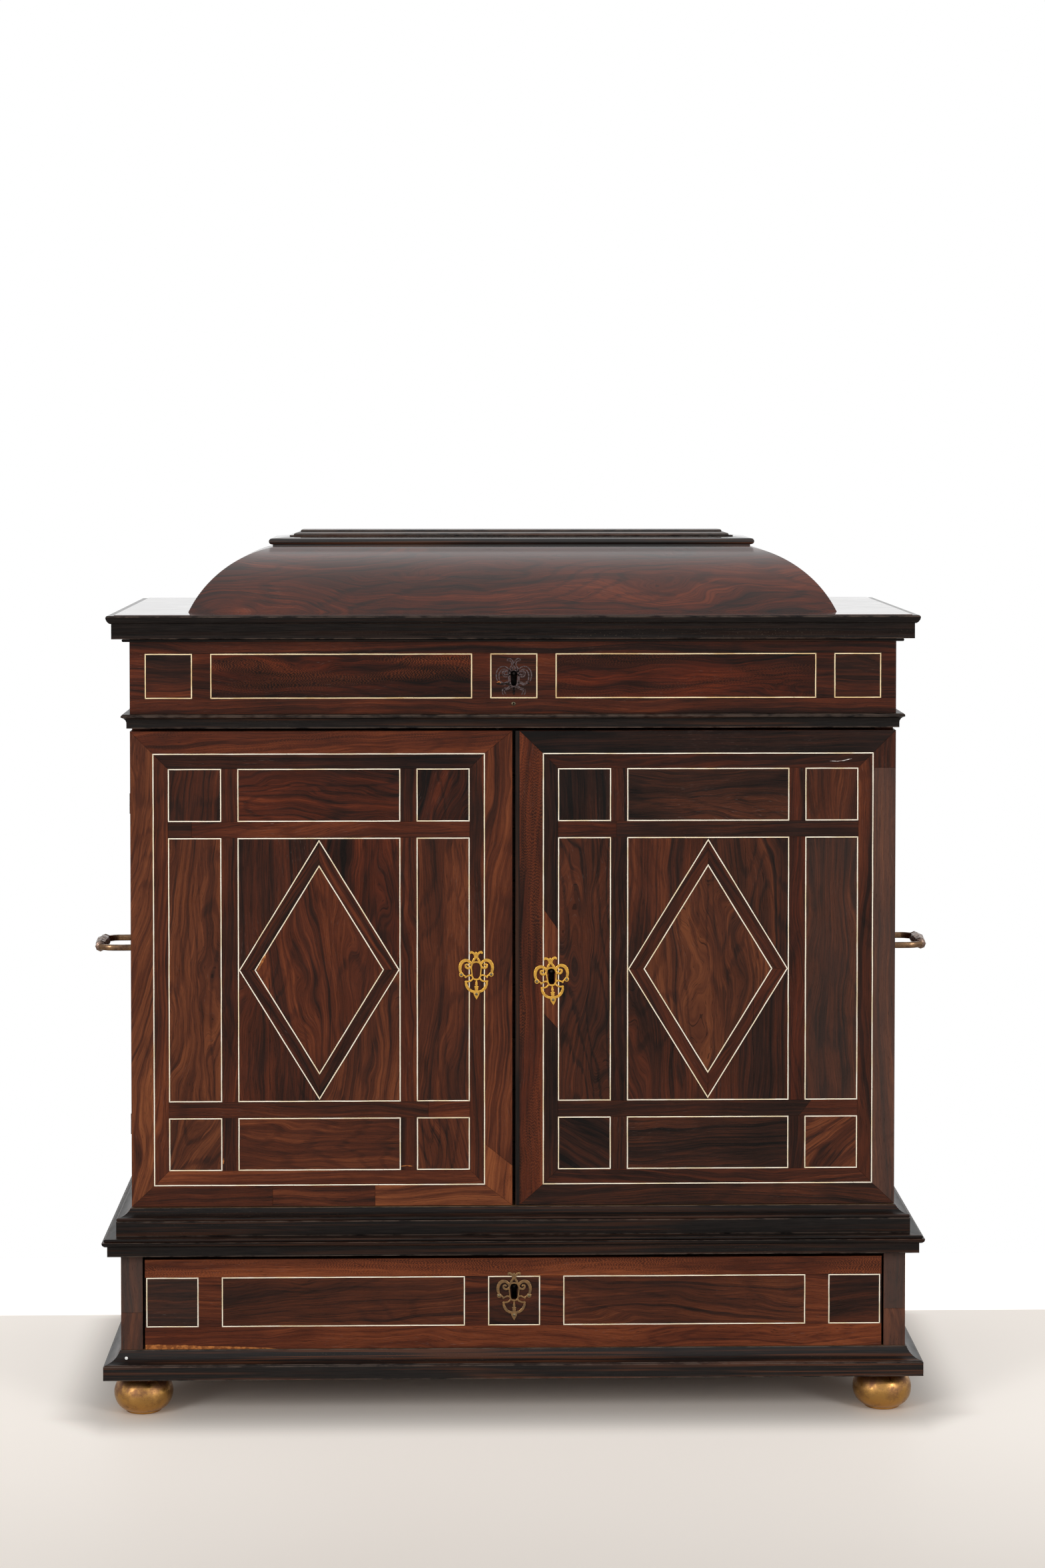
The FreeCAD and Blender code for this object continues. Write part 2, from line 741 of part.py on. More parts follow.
def hinge_places():
    """Every hinge's name, the side that it is on and its start point on the pin's axis."""
    length = "sizes.door_hinge_length"
    for side, sign in SIDES.items():
        for level in ("low", "high"):
            z = f"({door_z} + sizes.door_hinge_{level} - {length} / 2)"
            yield f"hinge_{side}_{level}", side, "Z", (f"{sign} * {hinge_x}", hinge_y, z), length
        length_of_lid = "sizes.lid_hinge_length"
        near = sided(sign, "sizes.lid_hinge_place", f"sizes.lid_hinge_place + {length_of_lid}")[0]
        yield f"lid_hinge_{side}", side, "X", (f"({near})", case_rear, lid_hinge_z), length_of_lid


def knuckle_span(start, length, index):
    """Where a knuckle begins and how long it is, with half a gap at each shared end."""
    gap = "sizes.running_gap / 2"
    lead = gap if index else "0"
    tail = gap if index + 1 < KNUCKLES else "0"
    return (f"{start} + {length} * {index} / {KNUCKLES} + {lead}",
            f"{length} / {KNUCKLES} - {lead} - {tail}")


def leaf_range(axis, moving):
    """The two faces of a leaf, on either side of the joint that its hinge bridges."""
    thick = "sizes.leaf_thickness"
    if axis == "Z":
        spans = {True: (f"{door_back} - {thick}", door_back),
                 False: (carcass_front, f"{carcass_front} + {thick}")}
    else:
        spans = {True: (lid_z, f"{lid_z} + {thick}"), False: (f"{rim_z} - {thick}", rim_z)}
    return spans[moving]


def hinge_half(name, axis, start, length, sign, moving):
    """One leaf of a hinge with its knuckles, bored on the moving leaf and pinned on the fixed one."""
    reach = "(sizes.knuckle_radius + sizes.running_gap)"
    x, y, z = start
    label = f"{name}_{'moving' if moving else 'fixed'}"
    pieces = []
    leaf = leaf_range(axis, moving)
    if axis == "Z":
        plate = sided(sign, f"{hinge_x} - sizes.leaf_width", f"{hinge_x} - {reach}")
        tab = sided(sign, f"{hinge_x} - {reach}", hinge_x)
        pieces.append(block(f"{label}_plate", plate, leaf, (z, f"{z} + {length}")))
    else:
        plate = (f"{case_rear} - sizes.lid_leaf_width", f"{case_rear} - {reach}")
        tab = (f"{case_rear} - {reach}", case_rear)
        pieces.append(block(f"{label}_plate", (x, f"{x} + {length}"), plate, leaf))
    for index in MOVING_KNUCKLES if moving else CASE_KNUCKLES:
        origin = z if axis == "Z" else x
        begin, long = knuckle_span(origin, length, index)
        if axis == "Z":
            pieces.append(block(f"{label}_tab_{index}", tab, leaf, (begin, f"{begin} + {long}")))
            spot = (x, y, begin)
        else:
            pieces.append(block(f"{label}_tab_{index}", (begin, f"{begin} + {long}"), tab, leaf))
            spot = (begin, y, z)
        pieces.append(flatted(f"{label}_knuckle_{index}", axis, spot, "sizes.knuckle_radius", long))
    if not moving:
        pieces.append(flatted(f"{label}_pin", axis, start, "sizes.pin_radius", length))
        return joined(label, pieces)
    bore = flatted(f"{label}_bore", axis, start, "sizes.pin_radius + sizes.pin_play", length, hole=True)
    return carved(label, joined(f"{label}_solid", pieces), [bore])


def hinges():
    groups = {"hinge_case_halves": []}
    for name, side, axis, start, length in hinge_places():
        sign = SIDES[side]
        groups["hinge_case_halves"].append(hinge_half(name, axis, start, length, sign, False))
        owner = f"door_{side}_hinge_halves" if axis == "Z" else "lid_hinge_halves"
        groups.setdefault(owner, []).append(hinge_half(name, axis, start, length, sign, True))
    for label, halves in groups.items():
        node(joined(label, halves), label)


def hinge_recesses(owner, wanted, moving):
    """Round notches for the barrels and shallow recesses for the leaves, cut from one board."""
    gap = "sizes.running_gap"
    tools = []
    for name, side, axis, (x, y, z), length in hinge_places():
        if axis != wanted[0] or side not in wanted[1]:
            continue
        sign = SIDES[side]
        leaf = leaf_range(axis, moving)
        if axis == "Z":
            x_range = sided(sign, f"{hinge_x} - sizes.leaf_width", hinge_x)
            y_range = leaf
            z_range = (z, f"{z} + {length}")
            start = (x, y, f"{z} - {gap}")
        else:
            x_range = (x, f"{x} + {length}")
            y_range = (f"{case_rear} - sizes.lid_leaf_width", case_rear)
            z_range = leaf
            start = (f"{x} - {gap}", y, z)
        radius = f"sizes.knuckle_radius + {gap}"
        tools.append(rod(f"{owner}_{name}_notch", axis, start, radius, f"{length} + 2 * {gap}"))
        tools.append(block(f"{owner}_{name}_recess", x_range, y_range, z_range))
    return tools


# Doors: boards with grooves for the stringing; the right one carries the lock and an edge strip
def doors():
    y_range = (face, door_back)
    z_range = (door_z, f"{door_z} + {door_height}")
    near = f"{half} - {door_width}"
    for side, sign in SIDES.items():
        stringing = node(door_stringing(f"door_{side}_stringing", sign), f"door_{side}_stringing")
        tools = [stringing] + hinge_recesses(f"door_{side}", ("Z", (side,)), moving=True)
        edge = near
        if side == "right":
            edge = f"{near} + sizes.meeting_strip"
            tools.append(keyhole("door_keyhole", door_keyhole_x, door_keyhole_z, face,
                                 "sizes.door_thickness"))
        board = block(f"door_{side}_blank", sided(sign, edge, half), y_range, z_range)
        node(carved(f"door_{side}", board, tools), f"door_{side}")
    node(block("door_right_edge_strip", (near, edge), y_range, z_range), "door_right_edge_strip")

    top = f"({door_z} + {door_height})"
    guide_y = (door_back, f"{door_back} + sizes.slide_bolt_guide_thickness")
    guide_x = (
        f"{slide_bolt_x} - sizes.slide_bolt_guide_width / 2",
        f"{slide_bolt_x} + sizes.slide_bolt_guide_width / 2",
    )
    low = f"{top} - sizes.slide_bolt_length"
    tall = "sizes.slide_bolt_guide_height"
    clear = "sizes.step_bead"
    guides = [
        block(f"slide_bolt_guide_{name}", guide_x, guide_y, (z, f"{z} + {tall}"))
        for name, z in (("low", f"{low} + {clear}"), ("high", f"{top} - {clear} - {tall}"))
    ]
    bore = flatted(
        "slide_bolt_bore",
        "Z",
        (slide_bolt_x, slide_bolt_y, low),
        "sizes.slide_bolt_radius + sizes.running_gap",
        "sizes.slide_bolt_length",
        hole=True,
    )
    node(carved("slide_bolt_guides", joined("slide_bolt_guide_pair", guides), [bore]),
         "slide_bolt_guides")
    shaft = flatted("slide_bolt_shaft", "Z", (slide_bolt_x, slide_bolt_y, low),
                    "sizes.slide_bolt_radius", "sizes.slide_bolt_length")
    finger = flatted(
        "slide_bolt_finger",
        "Y",
        (slide_bolt_x, slide_bolt_y, f"{top} - sizes.slide_bolt_length / 2"),
        "sizes.slide_bolt_radius / 2",
        "sizes.slide_bolt_finger",
    )
    node(joined("door_left_slide_bolt", [shaft, finger]), "door_left_slide_bolt")


# Locks: iron cases with a drill pin in the keyhole and a bolt in a channel of its own
def drill_pin(name, x, z, start, depth):
    height = f"{z} + sizes.keyhole_above - sizes.keyhole_round"
    return flatted(name, "Y", (x, start, height), "sizes.drill_pin_radius", depth)


def locks():
    play, wall = "sizes.bolt_play", "sizes.lock_wall"
    edge = f"{half} - {door_width}"
    x_range = (edge, f"{edge} + sizes.lock_width")
    y_range = (door_back, f"{door_back} + sizes.lock_thickness")
    z_range = (f"{door_keyhole_z} - sizes.lock_height / 2", f"{door_keyhole_z} + sizes.lock_height / 2")
    shell = block("door_lock_shell", x_range, y_range, z_range)
    bolt_y = f"({door_back} + (sizes.lock_thickness - sizes.bolt_thickness) / 2)"
    bolt_low = f"({door_keyhole_z} - sizes.bolt_width / 2)"
    channel = block(
        "door_lock_channel",
        (f"{edge} - {play}", f"{edge} + sizes.bolt_length + {play}"),
        (f"{bolt_y} - {play}", f"{bolt_y} + sizes.bolt_thickness + {play}"),
        (f"{bolt_low} - {play}", f"{bolt_low} + sizes.bolt_width + {play}"),
    )
    hole = keyhole("door_lock_keyhole", door_keyhole_x, door_keyhole_z, door_back,
                   f"sizes.lock_thickness - {wall} - 2 * sizes.keyhole_slot")
    pin = drill_pin("door_drill_pin", door_keyhole_x, door_keyhole_z, f"{face} + {wall}",
                    "sizes.door_thickness + sizes.lock_thickness - 2 * sizes.lock_wall")
    node(joined("door_lock", [carved("door_lock_case", shell, [channel, hole]), pin]), "door_lock")
    bolt = block(
        "door_lock_bolt",
        (edge, f"{edge} + sizes.bolt_length"),
        (bolt_y, f"{bolt_y} + sizes.bolt_thickness"),
        (bolt_low, f"{bolt_low} + sizes.bolt_width"),
    )
    node(bolt, "door_lock_bolt")

    y_range = (drawer_front_back, f"{drawer_front_back} + sizes.lock_thickness")
    shell = block("drawer_lock_shell", across("sizes.lock_width / 2"), y_range,
                  (f"{drawer_front_top} - sizes.lock_height", drawer_front_top))
    channel = block(
        "drawer_lock_channel",
        across(f"sizes.bolt_width / 2 + {play}"),
        (f"{drawer_bolt_y} - {play}", f"{drawer_bolt_y} + sizes.bolt_thickness + {play}"),
        (f"{drawer_front_top} - sizes.bolt_length - {play}", f"{drawer_front_top} + {play}"),
    )
    hole = keyhole("drawer_lock_keyhole", "0", drawer_keyhole_z, drawer_front_back,
                   f"sizes.lock_thickness - {wall} - 2 * sizes.keyhole_slot")
    pin = drill_pin("drawer_drill_pin", "0", drawer_keyhole_z, f"{plinth_face} + {wall}",
                    f"sizes.drawer_front_thickness + sizes.lock_thickness - 2 * {wall}")
    node(joined("drawer_lock", [carved("drawer_lock_case", shell, [channel, hole]), pin]),
         "drawer_lock")
    bolt = block(
        "drawer_lock_bolt",
        across("sizes.bolt_width / 2"),
        (drawer_bolt_y, f"{drawer_bolt_y} + sizes.bolt_thickness"),
        (f"{drawer_front_top} - sizes.bolt_length", drawer_front_top),
    )
    node(bolt, "drawer_lock_bolt")

    y_range = (frieze_back, f"{frieze_back} + sizes.lock_thickness")
    middle = f"({frieze_back} + sizes.lock_thickness / 2)"
    shell = block("till_lock_shell", across("sizes.lock_width / 2"), y_range,
                  (f"{rim_z} - sizes.till_lock_height", rim_z))
    loose = "sizes.staple_play"
    slot = block(
        "till_lock_slot",
        across(f"sizes.staple_thickness / 2 + {loose}"),
        (f"{middle} - sizes.staple_width / 2 - {loose}", f"{middle} + sizes.staple_width / 2 + {loose}"),
        (f"{rim_z} - sizes.staple_drop - {loose}", f"{rim_z} + {loose}"),
    )
    thick = f"(sizes.staple_width - 2 * sizes.staple_leg - 2 * {play})"
    bolt_y = f"({middle} - {thick} / 2)"
    bolt_low = f"({rim_z} - sizes.till_bolt_drop)"
    bolt_x = "(sizes.staple_thickness / 2 + sizes.till_bolt_setback)"
    channel = block(
        "till_lock_channel",
        (f"-{bolt_x} - sizes.till_bolt_setback", f"{bolt_x} + sizes.bolt_length + {play}"),
        (f"{bolt_y} - {play}", f"{bolt_y} + {thick} + {play}"),
        (f"{bolt_low} - {play}", f"{bolt_low} + sizes.till_bolt_height + {play}"),
    )
    hole = keyhole("till_lock_keyhole", "0", frieze_keyhole_z, frieze_back,
                   f"sizes.lock_thickness - {wall} - 2 * sizes.keyhole_slot")
    pin = drill_pin("till_drill_pin", "0", frieze_keyhole_z, f"{face} + {wall}",
                    f"sizes.side_thickness + sizes.lock_thickness - 2 * {wall}")
    node(joined("till_lock", [carved("till_lock_case", shell, [slot, channel, hole]), pin]),
         "till_lock")
    bolt = block(
        "till_lock_bolt",
        (bolt_x, f"{bolt_x} + sizes.bolt_length"),
        (bolt_y, f"{bolt_y} + {thick}"),
        (bolt_low, f"{bolt_low} + sizes.till_bolt_height"),
    )
    node(bolt, "till_lock_bolt")

    loop = block(
        "lid_staple_loop",
        across("sizes.staple_thickness / 2"),
        (f"{middle} - sizes.staple_width / 2", f"{middle} + sizes.staple_width / 2"),
        (f"{rim_z} - sizes.staple_drop", lid_z),
    )
    eye = block(
        "lid_staple_eye",
        across("sizes.staple_thickness"),
        (f"{bolt_y} - {play}", f"{bolt_y} + {thick} + {play}"),
        (f"{bolt_low} - {play}", f"{bolt_low} + sizes.till_bolt_height + {play}"),
    )
    node(carved("lid_staple", loop, [eye]), "lid_staple")


# Escutcheons: pierced scrollwork round a keyhole ring, cut from one brass sheet.
# Places are shares of the width and the height, from the keyhole's middle.
SCROLL_ARC_SHARES = [
    # outer scroll, its return to the volute, and the bracket back to the ring
    ((-0.418, -0.066), (-0.474, 0.095), (-0.360, 0.232)),
    ((-0.360, 0.232), (-0.235, 0.245), (-0.180, 0.130)),
    ((-0.418, -0.066), (-0.290, -0.150), (-0.075, -0.185)),
    # crest leg and lobe
    ((-0.070, 0.185), (-0.125, 0.255), (-0.060, 0.330)),
    ((-0.185, 0.345), (-0.130, 0.405), (-0.030, 0.350)),
    # side of the shield down to the drop
    ((-0.330, -0.215), (-0.215, -0.370), (-0.050, -0.455)),
    ((-0.330, -0.215), (-0.200, -0.235), (-0.075, -0.185)),
]
SCROLL_DISC_SHARES = [
    # volute, side pin boss, crest tip, beads and drop: place and radius, as a share of the width
    ((-0.243, 0.113), 0.076),
    ((-0.418, -0.066), 0.085),
    ((-0.185, 0.345), 0.050),
    ((-0.330, -0.215), 0.055),
    ((0.0, -0.224), 0.036),
    ((0.0, -0.282), 0.046),
    ((0.0, -0.345), 0.058),
    ((0.0, 0.385), 0.052),
]
DROP_SHARES = [(-0.114, -0.455), (0.0, -0.400), (0.114, -0.455), (0.0, -0.590)]


CHORDS_PER_ARC = 3
SIDES_PER_DISC = 6


def escutcheon(name, x, z, front):
    wide, high = value("sizes.escutcheon_width"), value("sizes.escutcheon_height")
    thick, band = value("sizes.escutcheon_thickness"), value("sizes.escutcheon_band")
    up = Vector(0, -thick, 0)

    def spot(share, sign=1):
        return Vector(sign * share[0] * wide, 0, share[1] * high)

    def plate(corners):
        return Part.Face(Part.makePolygon(corners + corners[:1])).extrude(up)

    def disc(centre, radius):
        angles = [2 * math.pi * (k + 0.5) / SIDES_PER_DISC for k in range(SIDES_PER_DISC)]
        reach = radius / math.cos(math.pi / SIDES_PER_DISC)
        return plate([centre + Vector(math.cos(a), 0, math.sin(a)) * reach for a in angles])

    pieces = []
    for sign in (-1, 1):
        for arc in SCROLL_ARC_SHARES:
            curve = Part.Arc(*(spot(share, sign) for share in arc)).toShape()
            centre = curve.Curve.Center
            along = curve.discretize(CHORDS_PER_ARC + 1)
            edges = []
            for offset in (-band / 2, band / 2):
                edges.append([point + Vector(point - centre).normalize() * offset for point in along])
            pieces.append(plate(edges[0] + edges[1][::-1]))
        for share, radius in SCROLL_DISC_SHARES:
            if sign > 0 or share[0]:
                pieces.append(disc(spot(share, sign), radius * wide))
    pieces.append(plate([spot(share) for share in DROP_SHARES]))

    head, slot = value("sizes.keyhole_round"), value("sizes.keyhole_slot")
    above, below = value("sizes.keyhole_above"), value("sizes.keyhole_below")
    openings = []
    for extra, solids in ((band / 2, pieces), (0, openings)):
        solids.append(disc(Vector(0, 0, above - head), head + extra))
        left, low = -slot - extra, -below - extra
        solids.append(plate([
            Vector(left, 0, low),
            Vector(-left, 0, low),
            Vector(-left, 0, above - head),
            Vector(left, 0, above - head),
        ]))
    solid = pieces[0].fuse(pieces[1:]).cut(openings[0].fuse(openings[1])).removeSplitter()
    obj = doc.addObject("Part::Feature", name)
    obj.Shape = solid
    place(obj, x, front, z)
    return node(obj, name)


def escutcheons():
    escutcheon("door_left_escutcheon", f"-{door_keyhole_x}", f"{door_keyhole_z} + sizes.blind_rise", face)
    escutcheon("door_right_escutcheon", door_keyhole_x, door_keyhole_z, face)
    escutcheon("drawer_escutcheon", "0", drawer_keyhole_z, plinth_face)


# Base drawer: an inlaid front, two sides and a back, and a bottom let in between them
def base_drawer():
    stringing = node(drawer_stringing("drawer_stringing"), "drawer_stringing")
    front = block(
        "drawer_front_blank",
        across(drawer_half),
        (plinth_face, drawer_front_back),
        (drawer_front_z, drawer_front_top),
    )
    hole = keyhole("drawer_keyhole", "0", drawer_keyhole_z, plinth_face, "sizes.drawer_front_thickness")
    node(carved("drawer_front", front, [stringing, hole]), "drawer_front")
    side_x = f"({drawer_half} - sizes.drawer_side_clearance)"
    wall = "sizes.drawer_side_thickness"
    z_range = (drawer_front_z, f"{drawer_front_z} + sizes.drawer_side_height")
    end = f"({plinth_face} + sizes.drawer_length)"
    boards = [
        block(
            f"drawer_side_{side}",
            sided(sign, f"{side_x} - {wall}", side_x),
            (drawer_front_back, end),
            z_range,
        )
        for side, sign in SIDES.items()
    ]
    boards.append(block("drawer_back", across(f"{side_x} - {wall}"), (f"{end} - {wall}", end), z_range))
    node(joined("drawer_sides_and_back", boards), "drawer_sides_and_back")
    bottom = block(
        "drawer_bottom",
        across(f"{side_x} - {wall}"),
        (drawer_front_back, f"{end} - {wall}"),
        (drawer_front_z, f"{drawer_front_z} + sizes.drawer_bottom_thickness"),
    )
    node(bottom, "drawer_bottom")


# Coin drawers: shallow, full width, on runners, each with two turned knobs
def coin_level(level):
    return f"({floor_z} + sizes.door_opening * {level} / sizes.coin_drawer_count)"


KNOB_FLATS = 8


def coin_drawers():
    reach = f"({inside} - sizes.coin_side_clearance)"
    front_back = f"({coin_face} + sizes.coin_front_thickness)"
    end = f"({coin_face} + sizes.coin_drawer_depth)"
    wall = "sizes.coin_wall"
    knob = [
        ("sizes.knob_stem_radius", "0"),
        ("sizes.knob_stem_radius", "sizes.knob_length * 0.3"),
        ("sizes.knob_radius", "sizes.knob_length * 0.7"),
        ("sizes.knob_radius * 0.6", "sizes.knob_length"),
    ]
    for level in range(COIN_DRAWERS):
        name = f"coin_drawer_{level + 1}"
        low, high = coin_level(level), coin_level(level + 1)
        front = block(
            f"{name}_front",
            across(reach),
            (coin_face, front_back),
            (f"{low} + sizes.coin_front_gap / 2", f"{high} - sizes.coin_front_gap / 2"),
        )
        box_low = f"({low} + sizes.runner_height + sizes.running_gap)"
        box_high = f"({high} - sizes.coin_head_room)"
        shell = block(f"{name}_shell", across(reach), (front_back, end), (box_low, box_high))
        room = block(
            f"{name}_room",
            across(f"{reach} - {wall}"),
            (front_back, f"{end} - {wall}"),
            (f"{box_low} + sizes.coin_bottom", f"{box_high} + sizes.coin_head_room"),
        )
        parts = [front, carved(f"{name}_box", shell, [room])]
        for side, sign in SIDES.items():
            pull = faceted(f"{name}_knob_{side}", knob, KNOB_FLATS)
            pull.Placement.Rotation = FreeCAD.Rotation(Vector(1, 0, 0), 90)
            x = f"{sign} * 2 * {inside} * sizes.knob_share_of_width"
            place(pull, x, coin_face, f"({low} + {high}) / 2")
            parts.append(pull)
        node(joined(name, parts), name)


# Lid: a rebated cornice frame, a board let into it, a coved dome of four mitred staves and a cap
def dome_arch(name, reach, centre, inset, role, start, length):
    """The dome's section across one way, drawn with two arcs a side, run the length of the other."""
    cove, rise, foot = "sizes.dome_cove", "sizes.dome_height", "sizes.dome_foot_arc"
    crown = f"((({cove} - {foot})^2 + {rise}^2 - {foot}^2) / (2 * ({rise} - {foot})))"
    share = f"({crown} / ({crown} - {foot}))"
    join_x = f"(({cove} - {foot}) * {share})"
    join_z = f"({rise} - {crown} + ({crown} - {rise}) * {share})"
    pull_x = f"(({cove} - {foot}) / ({crown} - {foot}) * {inset})"
    pull_z = f"(({crown} - {rise}) / ({crown} - {foot}) * {inset})"
    shoulder = f"({reach} - {cove})"
    outline = [
        (f"{centre} - ({reach} - {inset})", dome_z, f"{foot} - {inset}", "left"),
        (f"{centre} + ({reach} - {inset})", dome_z),
        (f"{centre} + {shoulder} + {join_x} - {pull_x}", f"{dome_z} + {join_z} - {pull_z}",
         f"{foot} - {inset}", "left"),
        (f"{centre} + {shoulder}", f"{cap_z} - {inset}", f"{crown} - {inset}", "left"),
        (f"{centre} - {shoulder}", f"{cap_z} - {inset}"),
        (f"{centre} - {shoulder} - {join_x} + {pull_x}", f"{dome_z} + {join_z} - {pull_z}",
         f"{crown} - {inset}", "left"),
    ]
    return padded(name, role, [outline], length, start)


def lid():
    board_half = f"({half} + sizes.lid_board_projection)"
    board_front = f"({face} - sizes.lid_board_projection)"
    board = block("lid_board", across(board_half), (board_front, case_rear), (board_z, dome_z))
    node(board, "lid_board")

    fascia, nose = "sizes.lid_fascia_projection", "sizes.lid_nose_projection"
    fascia_top = f"{lid_z} + sizes.lid_fascia_height"
    nose_top = f"{fascia_top} + sizes.lid_nose_height"
    edge = "sizes.step_edge"
    points = [
        ("-sizes.lid_frame_inside", lid_z),
        (fascia, lid_z),
        (fascia, fascia_top),
        (f"{fascia} + {edge}", fascia_top),
        (nose, f"{nose_top} - 2 * {edge}", "sizes.lid_nose_height", "left"),
        (nose, f"{nose_top} - {edge}"),
        (f"{nose} - {edge}", nose_top),
        ("sizes.lid_board_projection", nose_top),
        ("sizes.lid_board_projection", board_z),
        ("-sizes.lid_frame_inside", board_z),
    ]
    frame = moulding("lid_cornice_frame", half, face, case_rear, points)
    rail = block(
        "lid_rear_rail",
        across(f"{half} - sizes.lid_frame_inside"),
        (f"{case_rear} - sizes.lid_frame_inside", case_rear),
        (lid_z, board_z),
    )
    recesses = hinge_recesses("lid_cornice", ("X", SIDES), moving=True)
    node(carved("lid_cornice", joined("lid_cornice_whole", [frame, rail]), recesses), "lid_cornice")

    dome_half = f"({board_half} - sizes.dome_setback_side)"
    dome_front = f"({board_front} + sizes.dome_setback_front)"
    dome_rear = f"({case_rear} - sizes.dome_setback_rear)"
    dome_deep = f"(({dome_rear} - {dome_front}) / 2)"
    middle = f"(({dome_rear} + {dome_front}) / 2)"
    shells = []
    for label, inset in (("outside", "0"), ("inside", "sizes.dome_wall")):
        along = dome_arch(f"dome_{label}_long", dome_half, "0", inset, "XZ_Plane",
                          f"-({dome_rear})", f"{dome_rear} - {dome_front}")
        over = dome_arch(f"dome_{label}_deep", dome_deep, middle, inset, "YZ_Plane",
                         f"-({dome_half})", f"2 * {dome_half}")
        shell = doc.addObject("Part::Common", f"dome_{label}")
        shell.Base, shell.Tool = along, over
        shells.append(shell)
    node(carved("lid_dome", shells[0], shells[1:]), "lid_dome")

    cap_half = f"({dome_half} - sizes.dome_cove + sizes.dome_top_overlap)"
    cap_deep = f"({dome_deep} - sizes.dome_cove + sizes.dome_top_overlap)"
    slab_z = f"({cap_z} + sizes.cap_fillet_height)"
    upper_z = f"({slab_z} + sizes.cap_lower_height)"
    layers = []
    for label, inset, low, high in (
        ("fillet", "sizes.cap_fillet_inset", cap_z, slab_z),
        ("lower", "0", slab_z, upper_z),
        ("upper", "sizes.cap_upper_inset", upper_z, f"{upper_z} + sizes.cap_upper_height"),
    ):
        layers.append(block(
            f"cap_{label}",
            across(f"{cap_half} - {inset}"),
            (f"{middle} - {cap_deep} + {inset}", f"{middle} + {cap_deep} - {inset}"),
            (low, high),
        ))
    doc.recompute()
    taper = doc.addObject("Part::Chamfer", "cap_upper_taper")
    taper.Base = layers[2]
    top = layers[2].Shape.BoundBox.ZMax
    slope = value("sizes.cap_taper")
    drop = value("sizes.cap_upper_height - sizes.step_edge")
    taper.Edges = [
        (index, drop, slope)
        for index, edge in enumerate(layers[2].Shape.Edges, start=1)
        if edge.BoundBox.ZMin > top - drop / 2
    ]
    node(joined("lid_cap", layers[:2] + [taper]), "lid_cap")


# Side handles: cast bails with a faceted grip, on pins in the balls of two turned posts a side
GRIP_LENGTH_SHARES = [-1.0, -0.86, -0.72, -0.55, 0.0, 0.55, 0.72, 0.86, 1.0]
GRIP_FLATS = 6
GRIP_RADIUS_SHARES = [0.55, 0.95, 0.95, 0.60, 1.0, 0.60, 0.95, 0.95, 0.55]


def post_centre():
    return ("(sizes.bail_half_span - sizes.bail_arm_width / 2 - sizes.post_gap"
            " - sizes.post_ball_radius)")


def handle_posts():
    ball, neck = "sizes.post_ball_radius", "sizes.post_neck_radius"
    out = "sizes.bail_pivot_out"
    profile = [
        ("sizes.post_plate_radius", "0"),
        (neck, "sizes.post_plate_thickness"),
        (neck, f"{out} - {ball} * 0.9"),
        (ball, f"{out} - {ball} * 0.4"),
        (ball, f"{out} + {ball} * 0.4"),
        (f"{ball} * 0.4", f"{out} + {ball}"),
    ]
    posts = []
    for side, sign in SIDES.items():
        for end, way in (("front", -1), ("rear", 1)):
            name = f"post_{side}_{end}"
            y = f"{way} * {post_centre()}"
            post = faceted(name, profile, FLATS)
            post.Placement.Rotation = FreeCAD.Rotation(Vector(0, 1, 0), sign * 90)
            place(post, f"{sign} * {half}", y, "sizes.bail_height")
            bore = flatted(
                f"{name}_bore",
                "Y",
                (f"{sign} * ({half} + {out})", f"{y} - {ball} - sizes.post_gap", "sizes.bail_height"),
                "sizes.bail_pin_radius + sizes.running_gap",
                f"2 * ({ball} + sizes.post_gap)",
                hole=True,
            )
            posts.append(carved(f"{name}_bored", post, [bore]))
    node(joined("handle_posts", posts), "handle_posts")


